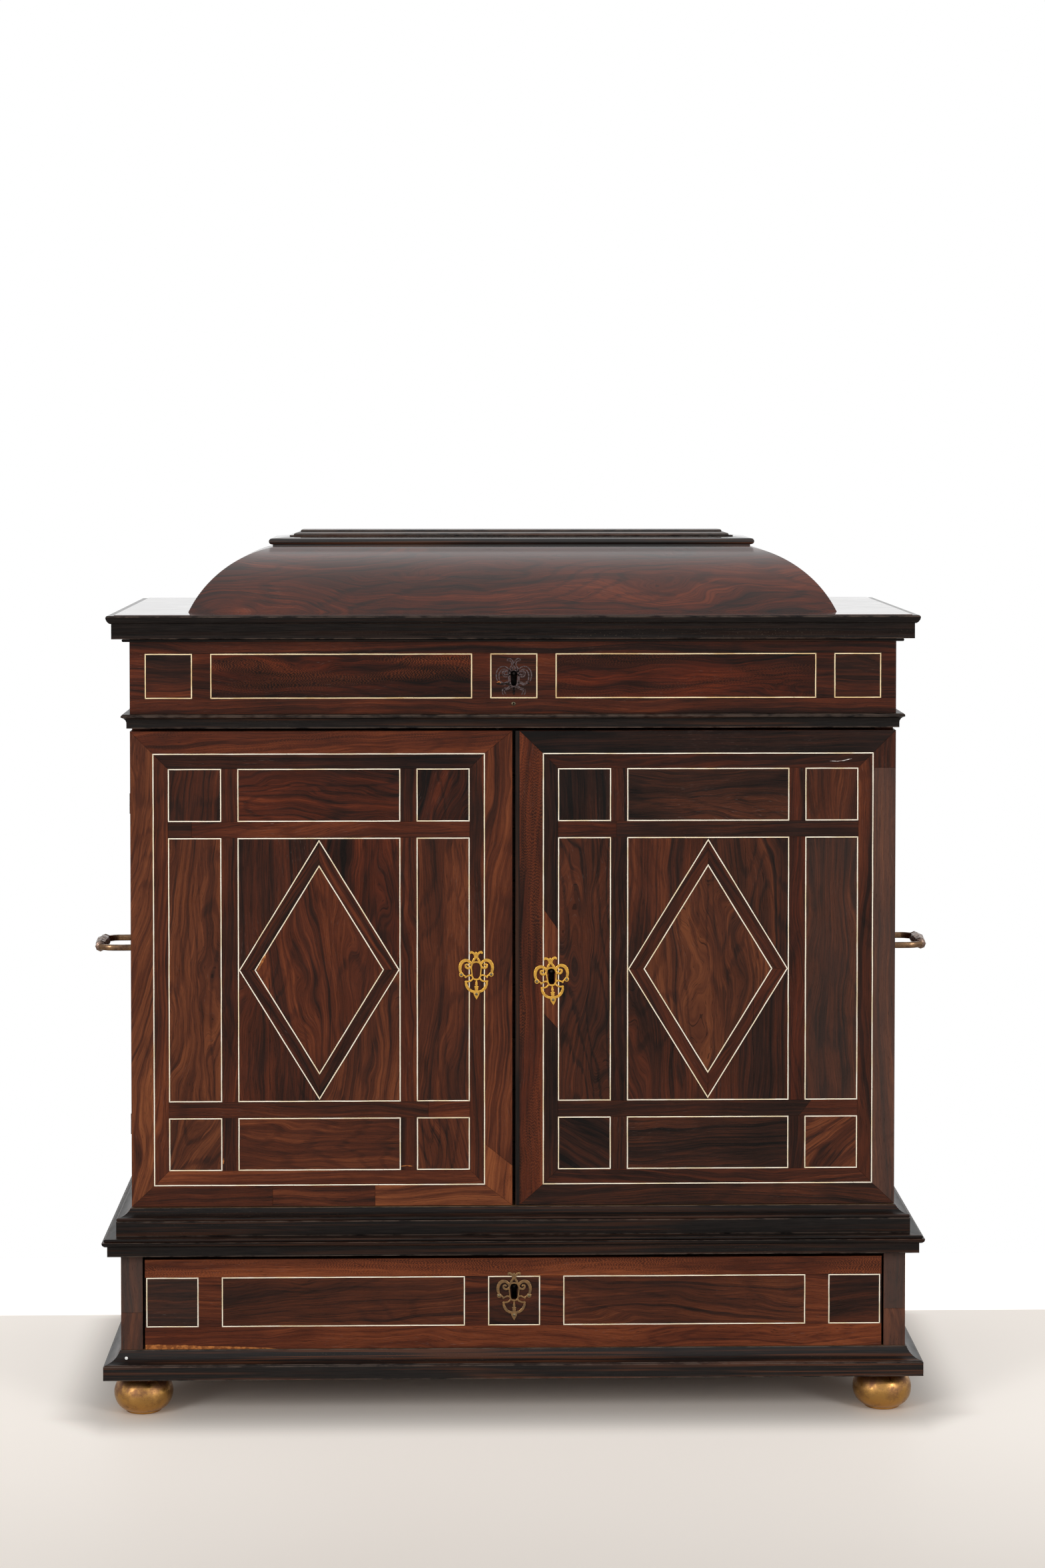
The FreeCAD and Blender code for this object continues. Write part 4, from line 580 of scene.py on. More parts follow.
for direction, names in CARCASS_BOARDS.items():
    for seed, name in enumerate(names):
        dress(name, carcass(f"{name}_wood", direction, seed * 1.7))
for seed, (name, (direction, tone)) in enumerate(ROSEWOOD_BOARDS.items()):
    coat = 1.0 if name == "lid_board" else 0.0
    dress(name, rosewood_board(f"{name}_rosewood", direction, 20 + seed * 2.3, tone, coat))
for material, names in OTHER_NODES.items():
    for name in names:
        dress(name, material)
print("dressed", sum(len(n) for n in CARCASS_BOARDS.values()) + len(ROSEWOOD_BOARDS), "boards")

# %% [markdown]
# ## Meshes in millimetres
# The makers' sizes are in millimetres, so each new piece is gathered in millimetres and
# turned into metres once. A pile holds corners, faces, each corner's place in the grain and
# its look. Flat outlines are drawn in X and Z, as one sees the cabinet's front.


# %% A pile of corners and faces
class Pile:
    """Corners and faces gathered for one mesh."""

    def __init__(self):
        self.points, self.faces, self.grain, self.look = [], [], [], []

    def add(self, points, faces, grain=None, look=(0, 0, 0, 0)):
        start = len(self.points)
        self.points += [Vector(p) / 1000 for p in points]
        self.faces += [[start + k for k in face] for face in faces]
        self.grain += grain or [(p[0] / 1000, p[2] / 1000, p[1] / 1000) for p in points]
        self.look += look if isinstance(look, list) else [look] * len(points)

    def build(self, name, material, body, slot, replaced=(), smooth=None, outward=False):
        """Make the object, paint its attributes, and let it ride on its body."""
        mesh = bpy.data.meshes.new(name)
        mesh.from_pydata(self.points, [], self.faces)
        places = mesh.attributes.new("grain", "FLOAT_VECTOR", "POINT")
        places.data.foreach_set("vector", [c for place in self.grain for c in place])
        looks = mesh.attributes.new("look", "FLOAT_COLOR", "POINT")
        looks.data.foreach_set("color", [c for look in self.look for c in look])
        if outward:
            shape = bmesh.new()
            shape.from_mesh(mesh)
            bmesh.ops.recalc_face_normals(shape, faces=shape.faces)
            shape.to_mesh(mesh)
            shape.free()
        if smooth:
            mesh.shade_smooth()
            mesh.set_sharp_from_angle(angle=math.radians(smooth))
        mesh.materials.append(material)
        piece = put(name, mesh)
        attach(piece, body)
        if replaced:
            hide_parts(*replaced)
        return piece


print("the pile is ready")


# %% Helpers for outlines and faces
def area(points):
    """Twice the signed area of a flat outline, positive when it runs anticlockwise."""
    return sum(p[0] * q[1] - q[0] * p[1] for p, q in zip(points, points[1:] + points[:1]))


def anticlockwise(points):
    return points if area(points) > 0 else points[::-1]


def inset(points, distance):
    """An anticlockwise outline drawn in from each side by the same distance."""
    drawn = []
    for k, here in enumerate(points):
        before, after = Vector(points[k - 1]), Vector(points[(k + 1) % len(points)])
        here = Vector(here)
        first, second = (here - before).normalized(), (after - here).normalized()
        first, second = Vector((-first.y, first.x)), Vector((-second.y, second.x))
        drawn.append(tuple(here + (first + second) * (distance / (1 + first.dot(second)))))
    return drawn


def rectangle(left, right, low, high):
    return [(left, low), (right, low), (right, high), (left, high)]


def grid_faces(rows, wide):
    """The faces of an open sheet whose corners lie in rows."""
    return [[row * wide + k, row * wide + k + 1, (row + 1) * wide + k + 1, (row + 1) * wide + k]
            for row in range(rows - 1) for k in range(wide - 1)]


def tube_faces(rings, sides):
    """The faces of a tube whose corners lie in rings, closed at both ends."""
    walls = [[row * sides + k, row * sides + (k + 1) % sides,
              (row + 1) * sides + (k + 1) % sides, (row + 1) * sides + k]
             for row in range(rings - 1) for k in range(sides)]
    return walls + [list(range(sides))[::-1], list(range((rings - 1) * sides, rings * sides))]


print("outline and face helpers are ready")

# %% [markdown]
# ## Leaves of veneer
# The front is laid with leaves about a third of a millimetre proud of the boards. Each leaf
# has a hair of glue line round it and a softened edge. The leaf's look is tone, figure,
# redness and ripple; its grain has a direction and a seed of its own.

# %% Lay one leaf
PROUD, GLUE, ARRIS = 0.35, 0.09, 0.12


def leaf(pile, outline, face, direction, look, seed, hole=None):
    """A leaf of veneer on a front face; direction is the grain's angle from level, in degrees.

    A list of two looks shades from the first at its foot to the second at its top.
    """
    outline = anticlockwise([tuple(p) for p in outline])
    sides, top = inset(outline, GLUE), inset(outline, GLUE + ARRIS)
    count = len(outline)
    rings = [(sides, face + 0.05), (sides, face - PROUD + ARRIS), (top, face - PROUD)]
    points = [(x, y, z) for ring, y in rings for x, z in ring]
    faces = []
    for ring in (0, count):
        for k in range(count):
            after = (k + 1) % count
            faces.append([ring + k, ring + after, ring + count + after, ring + count + k])
    if hole:
        start = len(points)
        points += [(x, face - PROUD, z) for x, z in hole]
        flat = [[Vector((x, z, 0)) for x, z in top], [Vector((x, z, 0)) for x, z in hole]]
        names = list(range(2 * count, 3 * count)) + list(range(start, start + len(hole)))
        for triangle in tessellate_polygon(flat):
            corners = [names[k] for k in triangle]
            turn = area([(points[k][0], points[k][2]) for k in corners])
            faces.append(corners if turn > 0 else corners[::-1])
        start = len(points)
        points += [(x, face + 0.3, z) for x, z in hole]
        for k in range(len(hole)):
            after = (k + 1) % len(hole)
            near, far = start - len(hole), start
            faces.append([near + k, near + after, far + after, far + k])
    else:
        faces.append(list(range(2 * count, 3 * count)))
    turn = math.radians(direction)
    along, across = Vector((math.cos(turn), math.sin(turn))), Vector((-math.sin(turn), math.cos(turn)))
    grain = []
    for x, _, z in points:
        here = Vector((x, z)) / 1000
        grain.append((here.dot(along) + 0.37 * seed, here.dot(across) + 0.11 * seed, seed))
    low_look, high_look = look if isinstance(look, list) else (look, look)
    middle = sum(z for _, z in outline) / count
    looks = [high_look if z > middle else low_look for _, _, z in points]
    pile.add(points, faces, grain, [(*shade, 0.0) if len(shade) == 3 else shade for shade in looks])


def keyhole_outline(x, z):
    """A round head over a slot, as the key needs it."""
    head = [(x + 3.7 * math.cos(a), z + 4.3 + 3.7 * math.sin(a))
            for a in (math.radians(d) for d in range(-38, 219, 16))]
    return head + [(x - 2.9, z - 8), (x + 2.9, z - 8)]


print("one leaf is", PROUD, "mm proud")

# %% [markdown]
# ## The doors' leaves
# Each door has a mitred border, a bone line, a mitred inner frame, and inside it a grid of
# corner squares, long and tall panels round a middle panel with a lozenge. Distances are
# taken from the line where the doors meet, so both doors share one drawing, and a table
# gives each leaf its grain and look as the cabinet maker chose them.

# %% Draw the doors
FACE, PLINTH_FACE = -149.5, -159.5
CASE_HALF, PLINTH_HALF, DRAWER_HALF = 376, 386, 362.6
DOOR_KEYHOLE, FRIEZE_KEYHOLE, DRAWER_KEYHOLE = (37, 431), (0, 725), (0, 121.3)
LOW, HIGH = 204, 673
RING = (28.4, 354.1, 224.4, 651.1)
STRING = 1.15
COLUMNS = {"meeting": (43.4, 95.6), "middle": (111.4, 271.1), "hinge": (286.9, 339.1)}
ROWS = {"foot": (239.4, 291.6), "middle": (307.4, 568.1), "top": (583.9, 636.1)}
GRID = (COLUMNS["meeting"][0], COLUMNS["hinge"][1], ROWS["foot"][0], ROWS["top"][1])
CENTRE, REACH, RISE = (191.25, 437.75), 80.25, 130.75
OUTER_LINE, INNER_LINE = 1.15, 14.2


def lozenge(drawn_in):
    """The lozenge in the middle panel, drawn in by an even distance."""
    share = 1 - drawn_in * math.hypot(REACH, RISE) / (REACH * RISE)
    x, z = CENTRE
    return [(x - REACH * share, z), (x, z - RISE * share), (x + REACH * share, z), (x, z + RISE * share)]


def mitred(outer, inner):
    """Four mitred strips between two rectangles: foot, hinge side, top, meeting side."""
    names = ("foot", "hinge", "top", "meeting")
    return {name: [outer[k], outer[(k + 1) % 4], inner[(k + 1) % 4], inner[k]]
            for k, name in enumerate(names)}


print("the doors' grid:", len(COLUMNS), "columns and", len(ROWS), "rows")


# %% Outline the doors' leaves
def door_leaves(near):
    """The outlines of a door's leaves by name, as distances from the meeting line and heights."""
    ring, ring_inside = rectangle(*RING), inset(rectangle(*RING), STRING)
    leaves = {f"border_{k}": v for k, v in mitred(rectangle(near, CASE_HALF, LOW, HIGH), ring).items()}
    leaves.update({f"frame_{k}": v for k, v in mitred(ring_inside, rectangle(*GRID)).items()})
    leaves["cross_top"] = rectangle(*GRID[:2], ROWS["middle"][1], ROWS["top"][0])
    leaves["cross_foot"] = rectangle(*GRID[:2], ROWS["foot"][1], ROWS["middle"][0])
    for row, (low, high) in ROWS.items():
        leaves[f"upright_{row}_meeting"] = rectangle(COLUMNS["meeting"][1], COLUMNS["middle"][0], low, high)
        leaves[f"upright_{row}_hinge"] = rectangle(COLUMNS["middle"][1], COLUMNS["hinge"][0], low, high)
        for column, (left, right) in COLUMNS.items():
            if (row, column) != ("middle", "middle"):
                leaves[f"panel_{row}_{column}"] = inset(rectangle(left, right, low, high), STRING)
    corners = inset(rectangle(*COLUMNS["middle"], *ROWS["middle"]), STRING)
    (x, z), (left, low), (right, high) = CENTRE, corners[0], corners[2]
    edges = [(left, z), (x, low), (right, z), (x, high)]
    outside, outer, inner = lozenge(OUTER_LINE), lozenge(OUTER_LINE + STRING), lozenge(INNER_LINE)
    for a, name in enumerate(("foot_meeting", "foot_hinge", "top_hinge", "top_meeting")):
        b = (a + 1) % 4
        leaves[f"corner_{name}"] = [corners[a], edges[b], outside[b], outside[a], edges[a]]
        leaves[f"band_{name}"] = [outer[a], outer[b], inner[b], inner[a]]
    leaves["lozenge"] = lozenge(INNER_LINE + STRING)
    return leaves


TURN_OUT, TURN_UP = 35, 300


def cut(outline, place, slope=0.0, level=False):
    """Cut a leaf in two at a place along it; a slope slants the line about the turning point."""
    sides = ([], [])

    def past(p):
        """How far a point lies beyond the line."""
        if level:
            return p[1] - place - slope * (p[0] - TURN_OUT)
        return p[0] - place - slope * (p[1] - TURN_UP)

    for p, q in zip(outline, outline[1:] + outline[:1]):
        a, b = past(p), past(q)
        sides[a > 0].append(p)
        if (a > 0) != (b > 0):
            share = a / (a - b)
            crossing = (p[0] + (q[0] - p[0]) * share, p[1] + (q[1] - p[1]) * share)
            sides[0].append(crossing)
            sides[1].append(crossing)
    return sides


print("a door has", len(door_leaves(1.5)), "leaves before any patch")

# %% [markdown]
# The tables give each leaf (grain angle, tone, figure, red, ripple). Some long strips are
# pieced from two or three leaves, as on the real doors: a second table gives where the
# strip is cut, how the cut slants, whether it is a height, and the next leaf's look.

# %% Choose the leaves
LEFT_LOOKS = {
    "border_top": (4, 0.57, 0.55, 0.62, 0.15), "border_hinge": (80, 0.63, 0.75, 0.10, 0),
    "border_foot": (1, 0.82, 0.45, 0.20, 0), "border_meeting": (80, 0.76, 0.60, 0.25, 0.2),
    "frame_top": (0, 0.15, 0.20, 0.60, 0), "frame_hinge": (88, 0.46, 0.55, 0.40, 0),
    "frame_foot": (2, 0.64, 0.35, 0.40, 0), "frame_meeting": (91, 0.36, 0.30, 0.45, 0),
    "cross_top": (3, 0.43, 0.55, 0.60, 0), "cross_foot": (2, 0.44, 0.50, 0.60, 0),
    "upright_top_hinge": (90, 0.40, 0.20, 0.60, 0), "upright_top_meeting": (90, 0.38, 0.20, 0.65, 0),
    "upright_middle_hinge": (89, 0.42, 0.45, 0.50, 0), "upright_middle_meeting": (92, 0.55, 0.75, 0.55, 0),
    "upright_foot_hinge": (90, 0.38, 0.20, 0.50, 0), "upright_foot_meeting": (90, 0.40, 0.20, 0.50, 0),
    "panel_top_hinge": (85, 0.39, 0.60, 0.35, 0), "panel_top_middle": (-3, 0.34, 1.00, 0.90, 0),
    "panel_top_meeting": (88, 0.28, 1.00, 0.80, 0), "panel_middle_hinge": (87, 0.53, 0.95, 0.12, 0),
    "panel_middle_meeting": (89, 0.46, 0.75, 0.25, 0), "panel_foot_hinge": (70, 0.56, 1.20, 0.0, 0),
    "panel_foot_middle": (2, 0.54, 0.70, 0.30, 0), "panel_foot_meeting": (92, 0.51, 1.10, 0.25, 0),
    "corner_top_hinge": (91, 0.26, 0.35, 0.45, 0), "corner_top_meeting": (88, 0.38, 0.85, 0.80, 0),
    "corner_foot_hinge": (90, 0.40, 0.60, 0.50, 0), "corner_foot_meeting": (86, 0.57, 1.00, 0.20, 0),
    "band_top_hinge": (58, 0.36, 0.30, 0.45, 0), "band_top_meeting": (-58, 0.42, 0.35, 0.55, 0),
    "band_foot_hinge": (-58, 0.38, 0.40, 0.60, 0), "band_foot_meeting": (58, 0.36, 0.45, 0.50, 0),
    "lozenge": (91, 0.49, 0.85, 0.50, 0),
}
RIGHT_LOOKS = {
    "border_top": (1, 0.10, 0.15, 0.10, 0), "border_hinge": (92, 0.52, 0.30, -0.35, 0),
    "border_foot": (-1, 0.30, 0.50, 0.0, 0), "border_meeting": (88, 0.44, 0.50, 0.75, 0.3),
    "frame_top": (1, 0.34, 0.55, 0.55, 0), "frame_hinge": (90, 0.40, 0.50, 0.35, 0),
    "frame_foot": (-2, 0.38, 0.60, 0.35, 0), "frame_meeting": (90, 0.24, 0.20, 0.20, 0),
    "cross_top": (0, 0.40, 0.40, 0.60, 0), "cross_foot": (1, 0.28, 0.20, 0.25, 0),
    "upright_top_hinge": (90, 0.38, 0.30, 0.65, 0), "upright_top_meeting": (90, 0.30, 0.30, 0.45, 0),
    "upright_middle_hinge": (91, 0.44, 0.75, 0.75, 0), "upright_middle_meeting": (90, 0.32, 0.55, 0.40, 0),
    "upright_foot_hinge": (90, 0.38, 0.30, 0.45, 0), "upright_foot_meeting": (90, 0.30, 0.25, 0.30, 0),
    "panel_top_hinge": (90, 0.41, 0.70, 0.15, 0), "panel_top_middle": (0, 0.26, 0.70, 0.0, 0),
    "panel_top_meeting": (92, 0.19, 0.35, 0.20, 0), "panel_middle_hinge": (90, 0.40, 0.55, -0.18, 0),
    "panel_middle_meeting": (90, 0.36, 1.30, 0.20, 0), "panel_foot_hinge": (35, 0.60, 1.20, 0.15, 0),
    "panel_foot_middle": (1, 0.30, 0.45, 0.0, 0), "panel_foot_meeting": (-35, 0.23, 0.70, 0.20, 0),
    "corner_top_hinge": (90, 0.35, 0.95, 0.0, 0), "corner_top_meeting": (90, 0.40, 0.45, 0.30, 0),
    "corner_foot_hinge": (90, 0.34, 0.35, 0.30, 0), "corner_foot_meeting": (88, 0.38, 0.80, 0.35, 0),
    "band_top_hinge": (-58, 0.38, 0.30, 0.45, 0), "band_top_meeting": (58, 0.40, 0.40, 0.45, 0),
    "band_foot_hinge": (58, 0.42, 0.50, 0.50, 0), "band_foot_meeting": (-58, 0.38, 0.40, 0.45, 0),
    "lozenge": (90, 0.54, 1.00, 0.0, 0),
}


def lay_door(sign, near, looks, pieced, hole=None):
    """Lay all the leaves of one door and return their pile."""
    pile = Pile()
    for number, (name, outline) in enumerate(door_leaves(near).items()):
        seed = 3.1 * number + (0.7 if sign < 0 else 2.2)
        parts = [(outline, looks[name])]
        for place, slope, level, look in pieced.get(name, ()):
            inner, outer = cut(parts[-1][0], place, slope, level)
            parts[-1:] = [(inner, parts[-1][1]), (outer, look)]
        for extra, (shape, (direction, *look)) in enumerate(parts):
            shape = [(sign * x, z) for x, z in shape]
            with_hole = hole if hole and name == "frame_meeting" and extra == 1 else None
            leaf(pile, shape, FACE, direction, tuple(look), seed + 0.9 * extra, with_hole)
    return pile


print("looks for", len(LEFT_LOOKS), "and", len(RIGHT_LOOKS), "leaves")

# %% Lay the doors' veneers
LEFT_PIECED = {
    "border_meeting": [(270, 0.8, True, (83, 0.54, 0.60, 0.35, 0))],
    "border_foot": [(136.7, 0, False, (1, 0.52, 0.35, 0.30, 0)),
                    (237.5, 0, False, (1, 0.50, 0.35, 0.35, 0))],
    "cross_top": [(316, 0, False, (1, 0.26, 0.2, 0.3, 0))],
    "cross_foot": [(84.3, 0, False, (-4, 0.36, 0.60, 0.35, 0))],
}
RIGHT_PIECED = {
    "frame_meeting": [(388, -1.1, True, (90, 0.52, 0.12, 0.30, 0)),
                      (489, -1.4, True, (90, 0.22, 0.2, 0.2, 0))],
    "cross_top": [(100.8, 0, False, (0, 0.30, 0.25, 0.25, 0))],
    "cross_foot": [(288, 0.8, False, (1, 0.40, 0.3, 0.40, 0))],
    "border_hinge": [(636, 0, True, (92, 0.34, 0.2, 0.25, 0))],
}
door_left_veneer = lay_door(-1, 1.5, LEFT_LOOKS, LEFT_PIECED).build(
    "door_left_veneer", veneer, "left_door", "rosewood")
door_right_veneer = lay_door(1, 5.5, RIGHT_LOOKS, RIGHT_PIECED, keyhole_outline(*DOOR_KEYHOLE)).build(
    "door_right_veneer", veneer, "right_door", "rosewood")
laid = [len(piece.data.polygons) for piece in (door_left_veneer, door_right_veneer)]
print("door veneers:", laid[0], "and", laid[1], "faces")

# %% [markdown]
# ## Frieze and drawer fronts
# Above the doors a frieze has five framed panels in a row, and the base drawer repeats
# them. The ground round the panels is a rail below, a rail above and short pieces between,
# all with the grain level.


# %% Lay the rows of panels
def row_frames(half, margin, square, gap, low, high):
    """The outlines of five framed panels in a row: square, long, square, long, square."""
    long = (2 * half - 2 * margin - 3 * square - 4 * gap) / 2
    left, frames = -half + margin, []
    for width in (square, long, square, long, square):
        frames.append(rectangle(left, left + width, low, high))
        left += width + gap
    return frames


def lay_row(half, frames, low, high, face, ground, looks, hole, rail_looks):
    """Lay the ground round a row of panels, and the panels."""
    pile = Pile()
    bottom, top = frames[0][0][1], frames[0][2][1]
    grounds = [(rectangle(-half, half, low, bottom), rail_looks[0], 1.5),
               (rectangle(-half, half, top, high), rail_looks[1], 4.4)]
    edges = [-half] + [x for frame in frames for x in (frame[0][0], frame[1][0])] + [half]
    for k in range(0, len(edges), 2):
        if edges[k + 1] - edges[k] > 1.5:
            grounds.append((rectangle(edges[k], edges[k + 1], bottom, top), ground, 7.3))
    for outline, (direction, *look), seed in grounds:
        leaf(pile, outline, face, direction, tuple(look), seed)
    for k, (frame, (direction, *look)) in enumerate(zip(frames, looks)):
        opening = hole if k == 2 else None
        shades = look[0] if isinstance(look[0], list) else tuple(look)
        leaf(pile, inset(frame, STRING), face, direction, shades, 11.3 + 2.9 * k, opening)
    return pile


frieze_frames = row_frames(CASE_HALF, 14.8, 46.2, 17.8, 704.9, 749.1)
drawer_frames = row_frames(DRAWER_HALF, 1.4, 51.2, 22.8, 87.2, 136.4)
frieze_ground, drawer_ground = (0, 0.37, 0.35, 0.80, 0), (0, 0.54, 0.45, 0.50, 0)
frieze_veneer = lay_row(
    CASE_HALF, frieze_frames, 690, 763.8, FACE, frieze_ground,
    [(2, [(0.54, 0.7, 0.7, 0), (0.17, 0.5, 0.3, 0)]),
     (0, [(0.15, 0.7, 1.25, 0), (0.42, 0.7, 1.25, 0.5)]),
     (0, 0.34, 0.4, 0.50, 0),
     (1, [(0.42, 0.7, 1.25, 0.1), (0.18, 0.8, 1.25, 0.1)]),
     (0, [(0.36, 0.7, 0.6, 0), (0.20, 0.6, 0.3, 0)])],
    keyhole_outline(*FRIEZE_KEYHOLE), ((0, 0.40, 0.35, 0.60, 0), (0, 0.36, 0.35, 0.60, 0)),
).build("frieze_veneer", veneer, "case", "rosewood")
drawer_veneer = lay_row(
    DRAWER_HALF, drawer_frames, 65.3, 154.3, PLINTH_FACE, drawer_ground,
    [(1, 0.31, 0.3, -0.15, 0), (2, 0.44, 0.55, 0.08, 0), (3, 0.34, 0.5, 0.10, 0), (-1, 0.43, 0.6, 0.10, 0),
     (1, 0.32, 0.4, 0.15, 0)],
    keyhole_outline(*DRAWER_KEYHOLE), ((1, 0.56, 0.55, 0.60, 0), (0, 0.59, 0.35, 0.50, 0.55)),
).build("drawer_veneer", veneer, "base_drawer", "rosewood")
stiles = Pile()
for side in (-1, 1):
    stile = [(side * x, z) for x, z in rectangle(364.6, PLINTH_HALF, 65.2, 159.8)]
    low_part, high_part = cut(anticlockwise(stile), 102, 0, True)
    leaf(stiles, low_part, PLINTH_FACE, 90, (0.58, 0.6, -0.30), 40 + side)
    leaf(stiles, high_part, PLINTH_FACE, 90, (0.46, 0.3, -0.50), 44 + side)
stiles.build("plinth_stile_veneer", veneer, "case", "rosewood")
print("frieze and drawer:", len(frieze_veneer.data.polygons) + len(drawer_veneer.data.polygons), "faces")

# %% [markdown]
# ## Bone lines
# The lines are strips of bone a little over a millimetre wide, let in and scraped flush.
# Old lines have moved a little: they waver, gape at the mitres and have cracked across.
# Each side of a frame is its own strip between an outer and an inner edge.

# %% Lay the bone lines
WAVER, GAPE = 0.16, 0.10


def bone_strip(pile, outer, inner, face, lot):
    """One strip between two long edges, each given by its ends."""
    outer, inner = [Vector(p) for p in outer], [Vector(p) for p in inner]
    length = (outer[1] - outer[0]).length
    forward, across = (outer[1] - outer[0]).normalized(), inner[0] - outer[0]
    across = (across - forward * across.dot(forward)).normalized()
    seed, tint = lot.uniform(0, 90), lot.uniform(-0.15, 0.25)
    breaks = sorted(lot.uniform(0.04, 0.96) for _ in range(int(length / 90)) if lot.random() < 0.45)
    stops = [0.0] + breaks + [1.0]
    for begin, end in zip(stops, stops[1:]):
        begin, end = begin + GAPE / length, end - GAPE / length
        steps = max(1, round((end - begin) * length / 7))
        points, look = [], []
        for k in range(steps + 1):
            share = begin + (end - begin) * k / steps
            place = share * length / 24
            drift = WAVER * noise.noise(Vector((place, seed, 0))) * math.sin(math.pi * share) ** 0.3
            fat = 0.07 * noise.noise(Vector((place * 2, seed, 5)))
            left = outer[0].lerp(outer[1], share) + across * (drift - fat + 0.04)
            right = inner[0].lerp(inner[1], share) + across * (drift + fat - 0.04)
            rows = ((left, face - PROUD + 0.10, 0.7), (left + across * 0.12, face - PROUD - 0.06, 0),
                    (right - across * 0.12, face - PROUD - 0.06, 0), (right, face - PROUD + 0.10, 0.7))
            for spot, depth, dirt in rows:
                points.append((spot.x, depth, spot.y))
                look.append((tint, dirt, 0, 0))
        faces = [[4 * k + j + 4, 4 * k + j + 5, 4 * k + j + 1, 4 * k + j]
                 for k in range(steps) for j in range(3)]
        upward = (Vector(points[2]) - Vector(points[1])).cross(Vector(points[5]) - Vector(points[1])).y
        if upward <= 0:
            faces = [f[::-1] for f in faces]
        pile.add(points, faces, None, look)


def bone_frame(pile, outline, face, lot, mirror=1):
    """Four strips round an outline, the outer edge on the outline."""
    outline = anticlockwise([(mirror * x, z) for x, z in outline])
    inside = inset(outline, STRING)
    for k in range(len(outline)):
        after = (k + 1) % len(outline)
        bone_strip(pile, (outline[k], outline[after]), (inside[k], inside[after]), face, lot)


for side, body in ((-1, "left_door"), (1, "right_door")):
    name = "left" if side < 0 else "right"
    pile, lot = Pile(), random.Random(70 + side)
    outlines = [rectangle(*RING), lozenge(OUTER_LINE), lozenge(INNER_LINE)]
    outlines += [rectangle(*column, *row) for column in COLUMNS.values() for row in ROWS.values()]
    for outline in outlines:
        bone_frame(pile, outline, FACE, lot, side)
    lines = pile.build(f"door_{name}_bone_lines", door_bone, body, "bone", [f"door_{name}_stringing"], 40)
    print(f"door_{name}_bone_lines:", len(lines.data.polygons), "faces")
LINED_ROWS = [
    ("frieze", frieze_frames, FACE, "case", frieze_bone),
    ("drawer", drawer_frames, PLINTH_FACE, "base_drawer", door_bone),
]
for name, frames, face, body, material in LINED_ROWS:
    pile, lot = Pile(), random.Random(len(name))
    for outline in frames:
        bone_frame(pile, outline, face, lot)
    lines = pile.build(f"{name}_bone_lines", material, body, "bone", [f"{name}_stringing"], 40)
    print(f"{name}_bone_lines:", len(lines.data.polygons), "faces")

# %% [markdown]
# ## Black mouldings
# Each moulding is planed as one long profile and mitred round the front corners. The
# profile is drawn in millimetres out from the face and up, its sharp corners are softened
# by a few tenths, and the result is swept along three legs. The corners that stand out get
# a wear of one, so the shader can paint them pale brown: partly rubbed wear, partly a
# painted highlight.


# %% Helpers for profiles
def bow(start, end, radius, side, count=9):
    """Points of an arc from start to end, without the start; side 1 has its centre on the left."""
    start, end = Vector(start), Vector(end)
    chord = end - start
    middle, left = (start + end) / 2, Vector((-chord.y, chord.x)).normalized()
    centre = middle + left * side * math.sqrt(max(radius ** 2 - (chord.length / 2) ** 2, 0))
    first, last = start - centre, end - centre
    turn = math.atan2(first.x * last.y - first.y * last.x, first.dot(last))
    points = []
    for k in range(1, count + 1):
        angle = turn * k / count
        c, s = math.cos(angle), math.sin(angle)
        points.append(tuple(centre + Vector((first.x * c - first.y * s, first.x * s + first.y * c))))
    return points


def softened(points, radius=0.45, sharp=28):
    """[(out, up, wear)] with sharp corners rounded and outer arrises marked for wear and a painted highlight.
    """
    made = []
    for k, here in enumerate(points):
        before, here, after = Vector(points[k - 1]), Vector(here), Vector(points[(k + 1) % len(points)])
        one, two = before - here, after - here
        if one.length < 1e-6 or two.length < 1e-6:
            continue
        bend = 180 - math.degrees(one.angle(two))
        if bend < sharp:
            made.append((here.x, here.y, 0.0))
            continue
        out_turn = one.x * two.y - one.y * two.x
        cut_back = min(radius, one.length / 2.5, two.length / 2.5)
        first, last = here + one.normalized() * cut_back, here + two.normalized() * cut_back
        middle = (first + last) / 2 * 0.45 + here * 0.55
        # Outer corners get wear up to one, which the shader paints pale: rubbed wear and a painted highlight.
        if out_turn < 0:
            start = here + one.normalized() * min(1.6, one.length / 2.2)
            end = here + two.normalized() * min(1.6, two.length / 2.2)
            spots = ((start, 0.0), (first, 0.6), (middle, 1.0), (last, 0.6), (end, 0.0))
        else:
            spots = ((first, 0.0), (middle, 0.0), (last, 0.0))
        made += [(spot.x, spot.y, wear) for spot, wear in spots]
    return made


print("a bow of 90 degrees:", len(bow((0, 0), (5, 5), 5, 1)), "points")


# %% Helpers for sweeps
def sweep(pile, profile, stations, seed):
    """Sweep a profile along one leg; stations are functions of (out, up) with a length along."""
    around = [0.0]
    for p, q in zip(profile, profile[1:]):
        around.append(around[-1] + math.hypot(q[0] - p[0], q[1] - p[1]) / 1000)
    points, grain, look = [], [], []
    for distance, place in stations:
        for (out, up, wear), girth in zip(profile, around):
            waver = 0.10 * noise.noise(Vector((distance / 70, girth * 40, seed)))
            points.append(place(out + waver * (wear + 0.3), up))
            grain.append((distance / 1000, girth, seed))
            look.append((wear, 0, 0, 0))
    pile.add(points, tube_faces(len(stations), len(profile)), grain, look)


